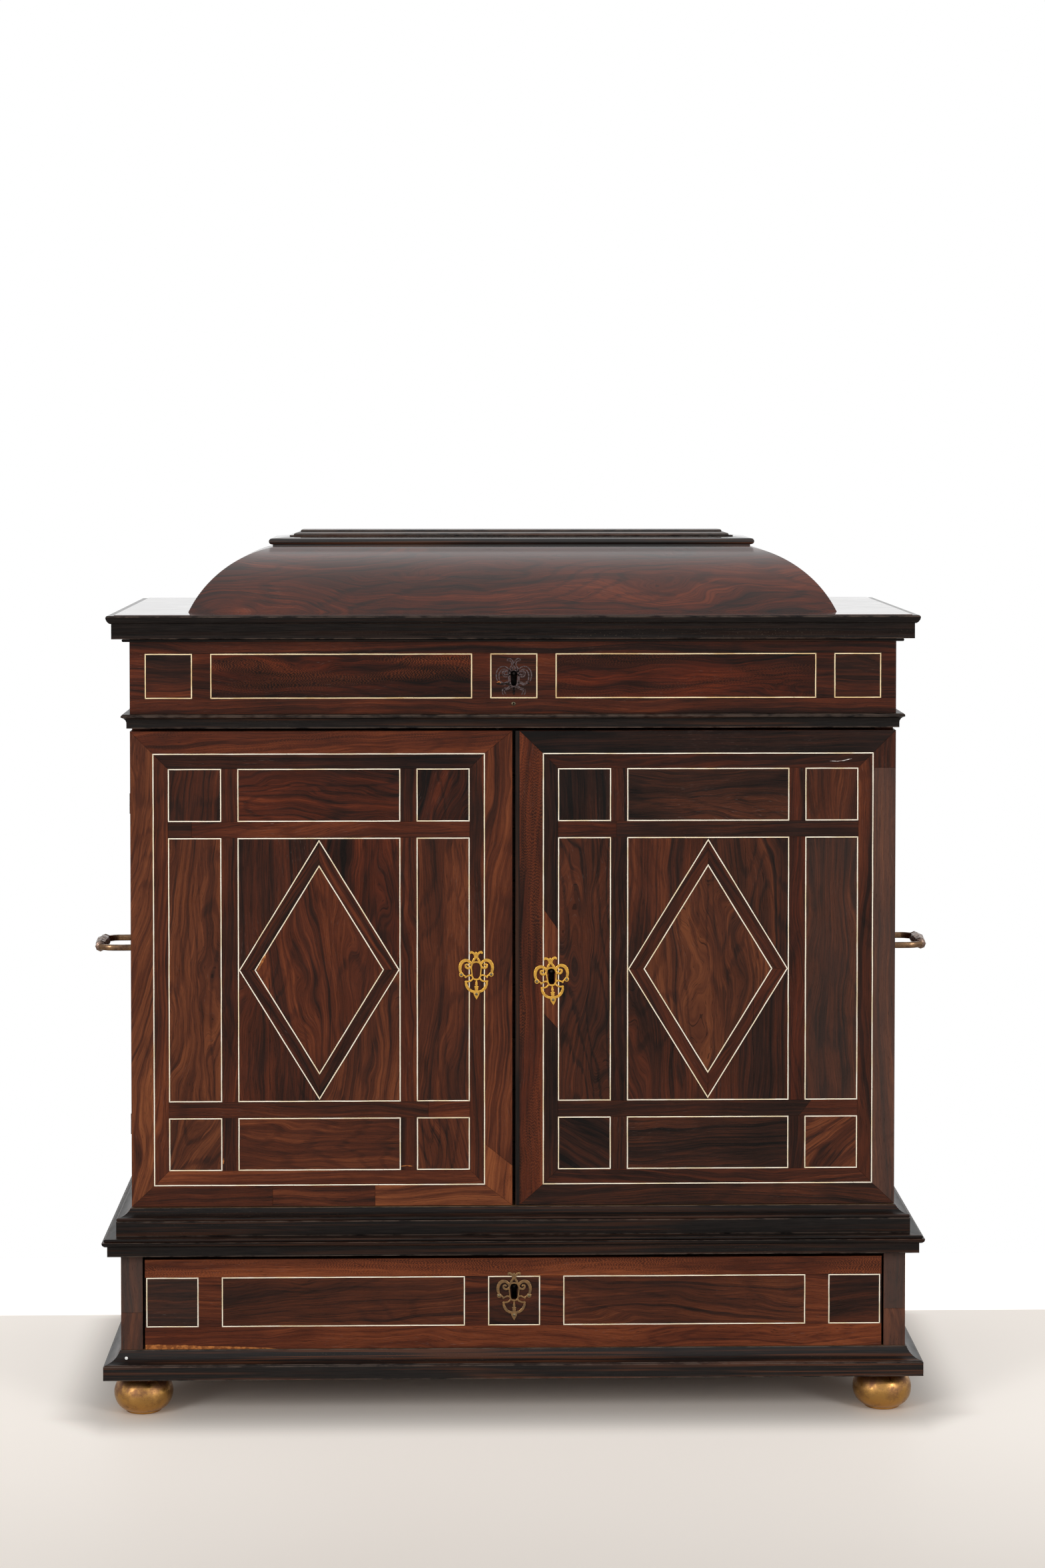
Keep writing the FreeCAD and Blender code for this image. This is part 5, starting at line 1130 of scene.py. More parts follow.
def legs_round(reach, front, back, step=55):
    """The three legs of a moulding round the front, each a list of stations."""

    def leg(first, last, length):
        steps = max(2, round(length / step))
        stations = []
        for k in range(steps + 1):
            share = k / steps

            def place(out, up, share=share):
                a, b = first(out), last(out)
                return (a[0] + (b[0] - a[0]) * share, a[1] + (b[1] - a[1]) * share, up)

            stations.append((share * length, place))
        return stations

    return [
        leg(lambda out: (-reach - out, back), lambda out: (-reach - out, front - out), back - front),
        leg(lambda out: (-reach - out, front - out), lambda out: (reach + out, front - out), 2 * reach),
        leg(lambda out: (reach + out, front - out), lambda out: (reach + out, back), back - front),
    ]


def black_run(name, points, reach, front, back, body, material, replaced, seed, extra=None):
    """Build one moulding round the front and both sides."""
    pile, profile = Pile(), softened(points)
    for number, stations in enumerate(legs_round(reach, front, back)):
        sweep(pile, profile, stations, seed + 1.3 * number)
    if extra:
        extra(pile)
    return pile.build(name, material, body, "black_wood", replaced, 32, outward=True)


print("a moulding has", len(legs_round(CASE_HALF, FACE, 173.5)), "legs")

# %% Sweep the mouldings
PLINTH_LINE = (PLINTH_HALF, PLINTH_FACE, 176.5)
CASE_LINE = (CASE_HALF, FACE, 173.5)
base_profile = [(0, 39), (16, 39), (16, 53), (14.8, 53), (14.8, 54)]
base_profile += bow((14.8, 54), (1.2, 65), 15, -1) + [(0, 65)]
cornice_profile = [(0, 160), (12, 160), (12, 170)] + bow((12, 170), (17, 175), 5, 1) + [(14, 175)]
cornice_profile += bow((14, 175), (14, 178), 1.6, 1) + [(0, 178)]
step_profile = [(0, 178), (14, 178), (14, 193), (12.8, 193)] + bow((12.8, 193), (12.8, 196), 1.6, 1)
step_profile += [(11.6, 196)] + bow((11.6, 196), (1.2, 203), 12.8, -1) + [(0, 203)]
waist_profile = [(0, 676), (3, 676), (3, 681)] + bow((3, 681), (8, 687), 6.2, -1)
waist_profile += [(8, 688.8), (6.8, 690), (0, 690)]
bead_profile = [(0, 761), (5.8, 761)] + bow((5.8, 761), (5.8, 764), 1.6, 1) + [(0, 764)]
lid_profile = [(-18, 764.3), (16, 764.3), (16, 779.3), (17.2, 779.3)] + bow((17.2, 779.3), (21, 784.9), 8, 1)
lid_profile += [(21, 786.1), (19.8, 787.3), (13.5, 787.3), (13.5, 773.8), (-18, 773.8)]


def rear_rail(pile):
    """The plain rail across the back of the lid's frame."""
    corners = [(x, y, z) for x in (-358, 358) for y in (155.5, 173.5) for z in (764.3, 773.8)]
    faces = [[0, 1, 3, 2], [4, 6, 7, 5], [0, 4, 5, 1], [2, 3, 7, 6], [0, 2, 6, 4], [1, 5, 7, 3]]
    pile.add(corners, faces)


RUNS = [
    ("base_moulding_run", base_profile, PLINTH_LINE, "case", black_base, "base_moulding", None),
    ("plinth_cornice_run", cornice_profile, PLINTH_LINE, "case", black_moulding, "plinth_cornice", None),
    ("step_moulding_run", step_profile, CASE_LINE, "case", black_moulding, "step_moulding", None),
    ("waist_moulding_run", waist_profile, CASE_LINE, "case", black_moulding, "waist_moulding", None),
    ("frieze_bead_run", bead_profile, CASE_LINE, "case", black_moulding, "frieze_bead", None),
    ("lid_cornice_run", lid_profile, CASE_LINE, "lid", black_lid, "lid_cornice", rear_rail),
]
for number, (name, points, line, body, material, replaced, extra) in enumerate(RUNS):
    run = black_run(name, points, *line, body, material, [replaced], 2.0 + 3 * number, extra)
    print(name, len(run.data.polygons), "faces")

# %% [markdown]
# ## The coved lid
# The dome of the lid is veneered over a coopered core. Its section is one bow of a circle,
# leaning in from the foot and nearly level at the top, and the four sides meet in mitres.
# Each side is a grid of its own, with the grain level, so the mitres show. A cap of two
# thin slabs covers the middle.

# %% Lay the dome
DOME_HALF, DOME_FRONT, DOME_REAR, DOME_LOW = 321.5, -115.0, 137.5, 787.8
DOME_RISE, DOME_INSET = 62.0, 79.8
BOW_IN, BOW_DOWN = 98.5, 44.3
bow_radius = math.hypot(BOW_IN, BOW_DOWN)
bow_start, bow_end = math.atan2(BOW_DOWN, -BOW_IN), math.acos((DOME_INSET - BOW_IN) / bow_radius)
dome_section = []
for k in range(27):
    angle = bow_start + (bow_end - bow_start) * k / 26
    rise = min(bow_radius * math.sin(angle) - BOW_DOWN, DOME_RISE)
    dome_section.append((BOW_IN + bow_radius * math.cos(angle), rise))


def dome_side(pile, start, end, inward, seed, look, columns):
    """One side of the dome from its foot line, drawn in as it rises."""
    start, end, inward = Vector(start), Vector(end), Vector(inward)
    along = (end - start).normalized()
    points, grain, girth = [], [], 0.0
    for row, (drawn_in, rise) in enumerate(dome_section):
        if row:
            before = dome_section[row - 1]
            girth += math.hypot(drawn_in - before[0], rise - before[1]) / 1000
        first = start + (along + inward) * drawn_in
        last = end + (inward - along) * drawn_in
        for k in range(columns + 1):
            here = first.lerp(last, k / columns)
            points.append((here.x, here.y, DOME_LOW + rise))
            grain.append(((here - start).dot(along) / 1000, girth + 0.2 * seed, seed))
    pile.add(points, grid_faces(len(dome_section), columns + 1), grain, look)


DOME_LOOK = (0.47, 1.0, 1.15, 0.0)
dome, corners = Pile(), rectangle(-DOME_HALF, DOME_HALF, DOME_FRONT, DOME_REAR)
for k, inward in enumerate(((0, 1), (-1, 0), (0, -1), (1, 0))):
    columns = 20 if k % 2 == 0 else 8
    dome_side(dome, corners[k], corners[(k + 1) % 4], inward, 5.2 + 3 * k, DOME_LOOK, columns)
dome_piece = dome.build("lid_dome_veneer", dome_veneer, "lid", "rosewood", ["lid_dome"], 40)
print("dome:", len(dome_piece.data.polygons), "faces")


# %% Build the cap
def cap_ring(pile, profile, half, deep, middle, seed):
    """A profile of (drawn in, height, wear) run round a rectangle, mitred, with a flat top."""
    corners = rectangle(-1, 1, -1, 1)
    for side in range(4):
        (ax, ay), (bx, by) = corners[side], corners[(side + 1) % 4]
        points, grain, look, girth = [], [], [], 0.0
        steps = 12 if side % 2 == 0 else 3
        for row, (drawn_in, up, wear) in enumerate(profile):
            if row:
                girth += math.hypot(drawn_in - profile[row - 1][0], up - profile[row - 1][1]) / 1000
            first = Vector((ax * (half - drawn_in), middle + ay * (deep - drawn_in)))
            last = Vector((bx * (half - drawn_in), middle + by * (deep - drawn_in)))
            for k in range(steps + 1):
                here = first.lerp(last, k / steps)
                points.append((here.x, here.y, up))
                grain.append(((last - first).length * k / steps / 1000, girth, seed + side))
                look.append((wear, 0, 0, 0))
        pile.add(points, grid_faces(len(profile), steps + 1), grain, look)
    drawn_in, up, _ = profile[-1]
    x, y = half - drawn_in, deep - drawn_in
    top = [(*corner, up) for corner in rectangle(-x, x, middle - y, middle + y)]
    pile.add(top, [[0, 1, 2, 3]], [(p[0] / 1000, p[1] / 1000, seed) for p in top])


cap_line = [(3.4, 849.0), (3.4, 852.0), (1.6, 852.4)] + bow((1.6, 852.4), (1.4, 858.2), 3.1, -1, 8)
cap_line += [(4.5, 858.6), (19.8, 860.1), (19.4, 861.2), (23.4, 861.5), (24.2, 862.9), (30.2, 864.8),
             (30.8, 866.3), (32.0, 866.8)]
# The upper slab's step edges are painted pale by their wear: rubbed wear and a painted highlight.
WEAR_AND_HIGHLIGHT_ROWS = (13, 15, 17)
cap_profile = [(a, b, 0.9 if k in WEAR_AND_HIGHLIGHT_ROWS else 0.0) for k, (a, b) in enumerate(cap_line)]
cap = Pile()
cap_ring(cap, cap_profile, 246, 50.5, 11.25, 9.0)
cap_piece = cap.build("lid_cap_slabs", black_cap, "lid", "black_wood", ["lid_cap"], 30)
print("cap:", len(cap_piece.data.polygons), "faces")

# %% [markdown]
# ## Turned pieces
# Feet, handle posts and drawer knobs are turned on a lathe: a profile of radius and
# distance spun round an axis. The feet are flattened brass balls on a thin disc.


# %% Turn the feet
def turned(pile, profile, centre, axis, sides, way=1):
    """Spin a profile of (radius, distance) round an axis through the centre."""
    points = []
    for radius, distance in profile:
        for k in range(sides):
            angle = 2 * math.pi * k / sides
            a, b, c = radius * math.cos(angle), radius * math.sin(angle), way * distance
            spot = {"Z": (a, b, c), "X": (c, a, b), "Y": (a, c, b)}[axis]
            points.append(tuple(p + q for p, q in zip(centre, spot)))
    pile.add(points, tube_faces(len(profile), sides))


foot_profile = [(16.8, 0), (17.6, 0.3), (17.9, 0.9), (17.8, 1.9), (17.0, 2.4), (17.2, 2.9)]
for k in range(1, 24):
    angle = math.radians(-72 + 144 * k / 24)
    out = abs(math.cos(angle)) ** 0.78
    foot_profile.append((8.5 + 20.5 * out, 18.6 + 17.2 * math.sin(angle) / math.sin(math.radians(72))))
foot_profile += [(17.4, 36.2), (16.9, 36.7), (16.9, 39)]
for number, (x, y) in enumerate(((-366, -139.5), (366, -139.5), (-366, 140.5), (366, 140.5))):
    foot = Pile()
    turned(foot, foot_profile, (x, y, 0), "Z", 64)
    replaced = ["bun_feet"] if number == 0 else []
    foot.build(f"bun_foot_{number + 1}", foot_brass, "case", "gilt_brass", replaced, 45, outward=True)
print("each foot has", len(foot_profile), "rings")

# %% [markdown]
# ## Handles
# A bail hangs from two posts on each side. Its arms are flat bars and its grip is a
# thicker faceted bar with beads at both ends. The bail is drawn level, as it rests.

# %% Build posts and bails
BAIL_Z, PIVOT, SPAN, GRIP_LINE = 441.0, 9.0, 31.5, 44.6
POST_Y = SPAN - 2.5 - 0.6 - 4.6
post_profile = [(0.5, 0), (8.6, 0), (9.0, 0.5), (8.8, 1.1), (6.6, 1.6), (4.2, 2.0), (2.9, 2.8),
                (2.7, 3.8), (3.3, 4.4)]
for k in range(1, 12):
    angle = math.radians(-55 + 145 * k / 11)
    post_profile.append((max(4.6 * math.cos(angle), 0.2), PIVOT + 4.6 * math.sin(angle)))
posts = Pile()
for side in (-1, 1):
    for way in (-1, 1):
        turned(posts, post_profile, (side * CASE_HALF, way * POST_Y, BAIL_Z), "X", 32, side)
posts.build("handle_posts_turned", bronze, "case", "bronze", ["handle_posts"], 40, outward=True)


def bar(pile, route, wide, high):
    """A flat bar with softened edges along a route in X and Y at the bails' height."""
    section = [(wide / 2, high / 2 - 1.1), (wide / 2 - 0.5, high / 2 - 0.3), (wide / 2 - 1.2, high / 2)]
    ring = section + [(-a, b) for a, b in section[::-1]] + [(-a, -b) for a, b in section]
    ring += [(a, -b) for a, b in section[::-1]]
    points = []
    for k, here in enumerate(route):
        before, after = Vector(route[max(k - 1, 0)]), Vector(route[min(k + 1, len(route) - 1)])
        here, ahead = Vector(here), (after - before).normalized()
        side, behind = Vector((-ahead.y, ahead.x)), here - before
        stretch = 1.0 if behind.length < 1e-6 else 1 / max(behind.normalized().dot(ahead), 0.7)
        for a, b in ring:
            spot = here + side * a * stretch
            points.append((spot.x, spot.y, BAIL_Z + b))
    pile.add(points, tube_faces(len(route), len(ring)))


GRIP = [(2.4, -26), (5.0, -24.6), (5.5, -22.8), (5.0, -21.2), (4.2, -20.2), (5.6, -18.9), (5.2, -17.4),
        (6.0, -12), (7.0, -5.5), (7.4, -1.2)]
GRIP += [(r, -d) for r, d in GRIP[::-1]]
ARM = [(6, SPAN), (9, SPAN), (20, SPAN + 0.5), (31, SPAN + 0.2), (35.6, SPAN - 0.6), (40, SPAN - 3.4),
       (44.5, SPAN - 7.6), (46.6, SPAN - 9.4)]
AXLE = [(1.0, 0), (1.8, 0.3), (1.8, 8.8), (1.0, 9.5)]
AXLE_HEAD = [(0.6, 0), (2.6, 0.2), (2.9, 0.8), (1.8, 1.6), (0.4, 1.9)]
for side, name in ((-1, "left"), (1, "right")):
    bail, grip, pivot = Pile(), Pile(), side * (CASE_HALF + PIVOT)
    for way in (-1, 1):
        bar(bail, [(side * (CASE_HALF + x), way * y) for x, y in ARM], 5, 6)
        turned(bail, AXLE, (pivot, way * SPAN, BAIL_Z), "Y", 16, -way)
        turned(bail, AXLE_HEAD, (pivot, way * (SPAN + 2.4), BAIL_Z), "Y", 20, way)
    turned(grip, GRIP, (side * (CASE_HALF + GRIP_LINE), 0, BAIL_Z), "Y", 8)
    arms = bail.build(f"bail_{name}_arms", bronze, f"{name}_bail", "bronze", [f"bail_{name}"], 35,
                      outward=True)
    grip.build(f"bail_{name}_grip", grip_bronze, f"{name}_bail", "bronze", [], 30, outward=True)
    print(arms.name, len(arms.data.polygons), "faces")

# %% [markdown]
# ## Escutcheons
# The keyhole plates are sheet brass sawn into scrolls: a crest, two big scrolls with
# volutes, brackets to the pins, a shield and a drop. Each scroll is a stroke of changing
# width, drawn for one side and mirrored. The strokes overlap, so a fine voxel remesh welds
# them into one plate with soft edges, and a decimation takes the spare faces away.

# %% Draw the scrolls
# each stroke is a list of (out from the middle, up, half width)
STROKES = [
    # crest leg and lobe
    [(4.3, 5.6, 0.8), (3.1, 9.0, 1.0), (1.3, 12.0, 1.0), (1.2, 14.6, 0.9), (2.6, 17.0, 1.0),
     (4.9, 18.0, 1.05), (5.9, 16.5, 0.6)],
    # keyhole ring
    [(0, 8.4, 0.7), (3.2, 7.3, 0.7), (4.8, 4.3, 0.65), (4.7, 1.0, 0.6), (4.3, -3.0, 0.6), (3.9, -6.2, 0.65),
     (2.4, -8.5, 0.7), (0, -9.1, 0.8)],
    # big scroll
    [(4.4, 5.2, 0.8), (6.3, 8.4, 1.15), (9.6, 10.0, 1.4), (13.0, 9.0, 1.5), (15.4, 5.6, 1.45),
     (15.9, 1.2, 1.3), (14.9, -3.0, 1.0)],
    # volute
    [(4.6, 4.6, 0.8), (5.7, 2.9, 0.9), (8.0, 2.1, 1.0), (10.1, 3.2, 0.95), (10.4, 5.3, 0.85), (8.9, 6.2, 0.7),
     (8.0, 5.2, 0.8)],
    # bracket from the pin to the ring
    [(14.6, -4.1, 0.8), (12.3, -4.6, 0.6), (10.5, -6.1, 0.7), (8.4, -5.5, 0.7), (6.5, -4.7, 0.75),
     (4.2, -5.4, 0.7)],
    # arm and side of the shield
    [(3.1, -7.6, 0.7), (4.7, -9.6, 0.75), (7.2, -10.8, 0.75), (10.2, -10.9, 0.8)],
    [(10.3, -10.8, 0.8), (10.1, -14.0, 1.1), (8.3, -17.6, 1.25), (5.0, -20.3, 1.2), (0, -21.5, 1.2)],
    # the drop's stem
    [(0, -9.0, 0.6), (0, -15.0, 0.6), (0, -20.5, 0.6)],
]
DISCS = [(14.7, -4.2, 2.3), (10.5, -6.6, 1.0), (10.3, -11.2, 1.15), (0, -11.9, 1.0), (0, -13.9, 1.3),
         (1.2, -16.3, 0.9), (0, -16.6, 1.5), (0, -18.6, 1.7), (0, 15.4, 1.5), (0, 17.4, 1.0), (0, -23.4, 2.7)]
DROP = [(-3.0, -22.8), (-2.3, -25.2), (0, -28.9), (2.3, -25.2), (3.0, -22.8), (0, -21)]
PLATE_BACK, PLATE_FRONT = -PROUD + 0.05, -PROUD - 1.05
FULLER = 1.08
print("half a plate:", len(STROKES), "strokes and", len(DISCS), "discs")


# %% Weld the scrolls into a plate
def curve_through(points, steps=6):
    """A smooth line through points, each (x, z, half width)."""
    line = []
    for k in range(len(points) - 1):
        p = [Vector(points[max(k - 1, 0)]), Vector(points[k]), Vector(points[k + 1]),
             Vector(points[min(k + 2, len(points) - 1)])]
        for j in range(steps):
            t = j / steps
            line.append(0.5 * (2 * p[1] + (p[2] - p[0]) * t + (2 * p[0] - 5 * p[1] + 4 * p[2] - p[3]) * t ** 2
                               + (3 * p[1] - p[0] - 3 * p[2] + p[3]) * t ** 3))
    return line + [Vector(points[-1])]


def slab(pile, outline, near, far):
    """An outline in X and Z made solid between two depths."""
    outline = anticlockwise([tuple(p) for p in outline])
    count = len(outline)
    points = [(x, near, z) for x, z in outline] + [(x, far, z) for x, z in outline]
    faces = [list(range(count)), list(range(count, 2 * count))[::-1]]
    faces += [[k, count + k, count + (k + 1) % count, (k + 1) % count] for k in range(count)]
    pile.add(points, faces)


def stroke_pieces(mirror):
    """Short overlapping outlines along every stroke, and the discs."""
    for stroke in STROKES:
        line = curve_through([(mirror * x, z, w * FULLER) for x, z, w in stroke])
        for a, b in zip(line, line[1:]):
            ahead = Vector((b.x - a.x, b.y - a.y))
            if ahead.length < 1e-5:
                continue
            side = Vector((-ahead.y, ahead.x)).normalized()
            flat_a, flat_b = Vector((a.x, a.y)), Vector((b.x, b.y))
            yield [flat_a - side * a.z, flat_b - side * b.z, flat_b + side * b.z, flat_a + side * a.z]
            yield [flat_a + Vector((math.cos(t), math.sin(t))) * a.z
                   for t in (k * math.pi / 5 for k in range(10))]
    for x, z, radius in DISCS:
        yield [Vector((mirror * x, z)) + Vector((math.cos(t), math.sin(t))) * radius
               for t in (k * math.pi / 9 for k in range(18))]


def escutcheon_mesh():
    """The pierced plate as one clean mesh round the keyhole's middle."""
    pile = Pile()
    for mirror in (-1, 1):
        for outline in stroke_pieces(mirror):
            slab(pile, outline, PLATE_FRONT, PLATE_BACK)
    slab(pile, DROP, PLATE_FRONT, PLATE_BACK)
    mesh = bpy.data.meshes.new("scrolls")
    mesh.from_pydata(pile.points, [], pile.faces)
    solid = put("scrolls", mesh)
    weld = solid.modifiers.new("weld", "REMESH")
    weld.mode, weld.voxel_size = "VOXEL", 0.00017
    ease = solid.modifiers.new("ease", "SMOOTH")
    ease.factor, ease.iterations = 0.5, 4
    spare = solid.modifiers.new("spare", "DECIMATE")
    spare.ratio = 0.22
    made = bpy.data.meshes.new_from_object(solid.evaluated_get(bpy.context.evaluated_depsgraph_get()))
    bpy.data.objects.remove(solid)
    return made


scrolls = escutcheon_mesh()
print("escutcheon:", len(scrolls.polygons), "faces")

# %% Fix the escutcheons
PLATES = [
    ("door_left_escutcheon", "left_door", (-37, 437), FACE, 0.5, gilt),
    ("door_right_escutcheon", "right_door", DOOR_KEYHOLE, FACE, 4.0, gilt),
    ("drawer_escutcheon", "base_drawer", DRAWER_KEYHOLE, PLINTH_FACE, 0.0, dull_brass),
]
PIN_HEAD = [(0.3, 1.75), (0.9, 1.68), (1.3, 1.5), (1.5, 1.25), (1.5, 0.9)]
for node, body, (x, z), face, tilt, material in PLATES:
    mesh = scrolls.copy()
    mesh.materials.clear()
    mesh.materials.append(material)
    mesh.shade_smooth()
    plate = put(f"{node}_scrolls", mesh)
    plate.location = Vector((x, face, z)) / 1000
    turn = math.radians(-tilt)
    plate.rotation_euler = (0, turn, 0)
    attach(plate, body)
    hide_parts(node)
    pins = Pile()
    for a, b in ((-14.7, -4.2), (14.7, -4.2), (0, -23.4)):
        spot = (x + a * math.cos(turn) + b * math.sin(turn), face,
                z - a * math.sin(turn) + b * math.cos(turn))
        turned(pins, PIN_HEAD, spot, "Y", 20, -1)
    pins.build(f"{node}_pins", pin_brass, body, "brass", [], 50, outward=True)
print("fixed", len(PLATES), "escutcheons")

# %% [markdown]
# ## Coin drawer knobs
# Behind the doors each coin drawer has two small turned knobs and a veneered front. The
# frame's knobs are plain stand-ins, so a turned knob slips over each one.

# %% Turn the knobs and veneer the coin drawers
KNOB = [(3.4, 0.0), (3.6, 0.8), (3.1, 3.4), (3.4, 4.4), (5.4, 6.0), (7.2, 8.6), (7.3, 10.4), (6.4, 12.2),
        (4.2, 13.1), (0.4, 13.4)]
for number in range(1, 10):
    name = f"coin_drawer_{number}"
    corners = [v.co * 1000 for v in nodes[name].data.vertices]
    low, high = (v * 1000 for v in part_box(name))
    knob_corners = [v for v in corners if v.y < low.y + 6]
    front = min(v.y for v in corners if abs(v.x) > 340)
    knobs, fronts = Pile(), Pile()
    for side in (-1, 1):
        mine = [v for v in knob_corners if v.x * side > 0]
        x = (min(v.x for v in mine) + max(v.x for v in mine)) / 2
        z = (min(v.z for v in mine) + max(v.z for v in mine)) / 2
        turned(knobs, KNOB, (x, front, z), "Y", 28, -1)
    leaf(fronts, rectangle(low.x + 0.3, high.x - 0.3, low.z + 0.3, high.z - 0.3), front, 0,
         (0.40 + 0.03 * (number % 3), 0.5, 0.4), 60 + 1.9 * number)
    knobs.build(f"{name}_knobs", dull_brass, name, "brass", [], 40, outward=True)
    fronts.build(f"{name}_veneer", veneer, name, "rosewood")
print("nine coin drawers have knobs and fronts")

# %% [markdown]
# ## Wear on the fronts
# Small accidents make the piece itself: splits down each door, chips lost from the left one
# and a scratch on the right one, a bare sliver along the drawer's foot, a white speck on the
# base, and the ghost of a lost escutcheon on the frieze with its pin holes. Most are thin
# patches a few hundredths of a millimetre proud of the veneer.

# %% Helpers for wear
def plain(name, colour, second, roughness, scale=400.0):
    """A small two-tone material for chips, splits and specks."""
    material, tree, shader = new_material(name)
    grit = lumps(tree, object_place(tree), scale, 3.0)
    mottled = between(tree, window(tree, grit, 0.4, 0.62), (*colour, 1), (*second, 1))
    tree.links.new(mottled, shader.inputs["Base Color"])
    tree.links.new(window(tree, grit, 0.3, 0.7, roughness, roughness + 0.15), shader.inputs["Roughness"])
    shader.inputs["Specular IOR Level"].default_value = 0.1
    bumped(tree, shader, grit, 0.3, 0.0002)
    return material


split_dark = plain("split_dark", (0.003, 0.0025, 0.002), (0.012, 0.007, 0.005), 0.6)
bare_wood = plain("bare_wood", (0.42, 0.15, 0.040), (0.20, 0.062, 0.018), 0.6, 260)
grey_film = plain("grey_film", (0.105, 0.080, 0.082), (0.045, 0.028, 0.026), 0.5, 500)
pale_scratch = plain("pale_scratch", (0.62, 0.58, 0.56), (0.20, 0.14, 0.12), 0.5, 350)
white_speck = plain("white_speck", (0.85, 0.85, 0.83), (0.7, 0.7, 0.68), 0.6)


def ribbon(pile, route, width, depth, seed=0.0, rough=0.35):
    """A thin uneven strip along a route in X and Z, at a depth in Y."""
    points, line = [], []
    for a, b in zip(route, route[1:]):
        steps = max(1, round(math.hypot(b[0] - a[0], b[1] - a[1]) / 3))
        line += [(a[0] + (b[0] - a[0]) * k / steps, a[1] + (b[1] - a[1]) * k / steps) for k in range(steps)]
    line.append(route[-1])
    for k, here in enumerate(line):
        before, after = Vector(line[max(k - 1, 0)]), Vector(line[min(k + 1, len(line) - 1)])
        ahead = (after - before).normalized()
        side = Vector((-ahead.y, ahead.x))
        drift = rough * noise.noise(Vector((k * 0.6, seed, 0)))
        uneven = 0.65 + 0.9 * abs(noise.noise(Vector((k * 0.45, seed, 7))))
        half = width / 2 * uneven * min(1, 0.25 + k, len(line) - k - 0.75)
        for way in (-1, 1):
            spot = Vector(here) + side * (drift + way * half)
            points.append((spot.x, depth, spot.y))
    faces = [[2 * k, 2 * k + 2, 2 * k + 3, 2 * k + 1] for k in range(len(line) - 1)]
    normal = (Vector(points[2]) - Vector(points[0])).cross(Vector(points[1]) - Vector(points[0]))
    if normal.y > 0:
        faces = [f[::-1] for f in faces]
    pile.add(points, faces)


print("wear materials:", split_dark.name, bare_wood.name, grey_film.name)

# %% Draw the splits and losses
SKIN, PLINTH_SKIN = FACE - PROUD - 0.02, PLINTH_FACE - PROUD - 0.02
# each ribbon is a route, a width, a depth, a seed and, at times, how far it strays
RIBBONS = [
    ("door_left_splits", split_dark, "left_door", [
        ([(-239.5, 565), (-240.6, 530), (-239.8, 500), (-241.0, 476)], 0.45, SKIN, 1),
        ([(-240.2, 432), (-239.4, 395), (-240.4, 352), (-239.6, 318)], 0.5, SKIN, 2),
        ([(-217.5, 536), (-218.5, 522)], 0.5, SKIN, 3),
        ([(-232, 534), (-233, 514)], 0.4, SKIN, 4),
        ([(-246, 452), (-243, 462), (-240, 470)], 0.6, SKIN, 5),
    ]),
    ("door_right_splits", split_dark, "right_door", [
        ([(227.3, 565), (228.4, 540), (227.8, 515)], 0.5, SKIN, 6),
        ([(235.6, 432), (236.4, 400), (235.2, 372), (236.9, 350), (236.0, 318)], 0.55, SKIN, 7),
        ([(245, 534), (246.2, 522)], 0.9, SKIN, 8),
    ]),
    ("door_right_scratch", pale_scratch, "right_door", [
        ([(311, 642.6), (318, 642.4), (325, 643.2), (332.5, 645.0)], 0.9, SKIN, 12, 0.3),
    ]),
    ("door_left_chips", bare_wood, "left_door", [
        ([(-251.5, 437.5), (-249, 443), (-246.0, 449), (-243.6, 453)], 2.0, SKIN - 0.05, 9, 0.5),
        ([(-112, 243.2), (-105, 243.8), (-100, 243.2)], 1.1, SKIN, 10, 0.3),
        ([(-286.0, 246), (-285.6, 252)], 1.4, SKIN - 0.06, 11, 0.4),
    ]),
]
for name, material, body, ribbons in RIBBONS:
    pile = Pile()
    for one in ribbons:
        ribbon(pile, *one)
    pile.build(name, material, body, "rosewood")
sliver, points = Pile(), []
for k in range(31):
    share = k / 30
    high = 5.2 * (1 - share) ** 0.8 * (0.8 + 0.4 * abs(noise.noise(Vector((k * 0.5, 3, 0))))) + 0.3
    x = -362.0 + 128 * share
    points += [(x, PLINTH_SKIN, 65.6), (x, PLINTH_SKIN, 65.6 + high)]
sliver.add(points, [[2 * k, 2 * k + 2, 2 * k + 3, 2 * k + 1] for k in range(30)])
sliver.build("drawer_bare_sliver", bare_wood, "base_drawer", "rosewood")
speck = Pile()
turned(speck, [(0.2, 0.5), (0.9, 0.4), (1.4, 0.15), (1.6, -0.2)], (-380.0, -168.6, 59.5), "Y", 14, -1)
speck.build("base_white_speck", white_speck, "case", "black_wood", [], 60, outward=True)
print("splits, scratch, chips, sliver and speck are drawn")

# %% Draw the ghost of the frieze's escutcheon
ghost = Pile()
for number, stroke in enumerate(STROKES):
    for mirror in (-1, 1):
        line = curve_through([(mirror * x, FRIEZE_KEYHOLE[1] + z, w) for x, z, w in stroke], 3)
        for way in (-1, 1):
            route = []
            for k, here in enumerate(line):
                before, after = line[max(k - 1, 0)], line[min(k + 1, len(line) - 1)]
                ahead = Vector((after.x - before.x, after.y - before.y)).normalized()
                spot = Vector((here.x, here.y)) + Vector((-ahead.y, ahead.x)) * way * here.z
                if 707.5 < spot.y < 746.5:
                    route.append(tuple(spot))
            if len(route) > 2:
                ribbon(ghost, route, 1.3, SKIN, number + mirror, 0.25)
ghost.build("frieze_escutcheon_ghost", grey_film, "case", "rosewood")
holes = Pile()
ribbon(holes, [(-2.5, 718.6), (-8, 719.4), (-13, 718.8), (-17.5, 719.2)], 1.9, SKIN - 0.03, 21, 0.5)
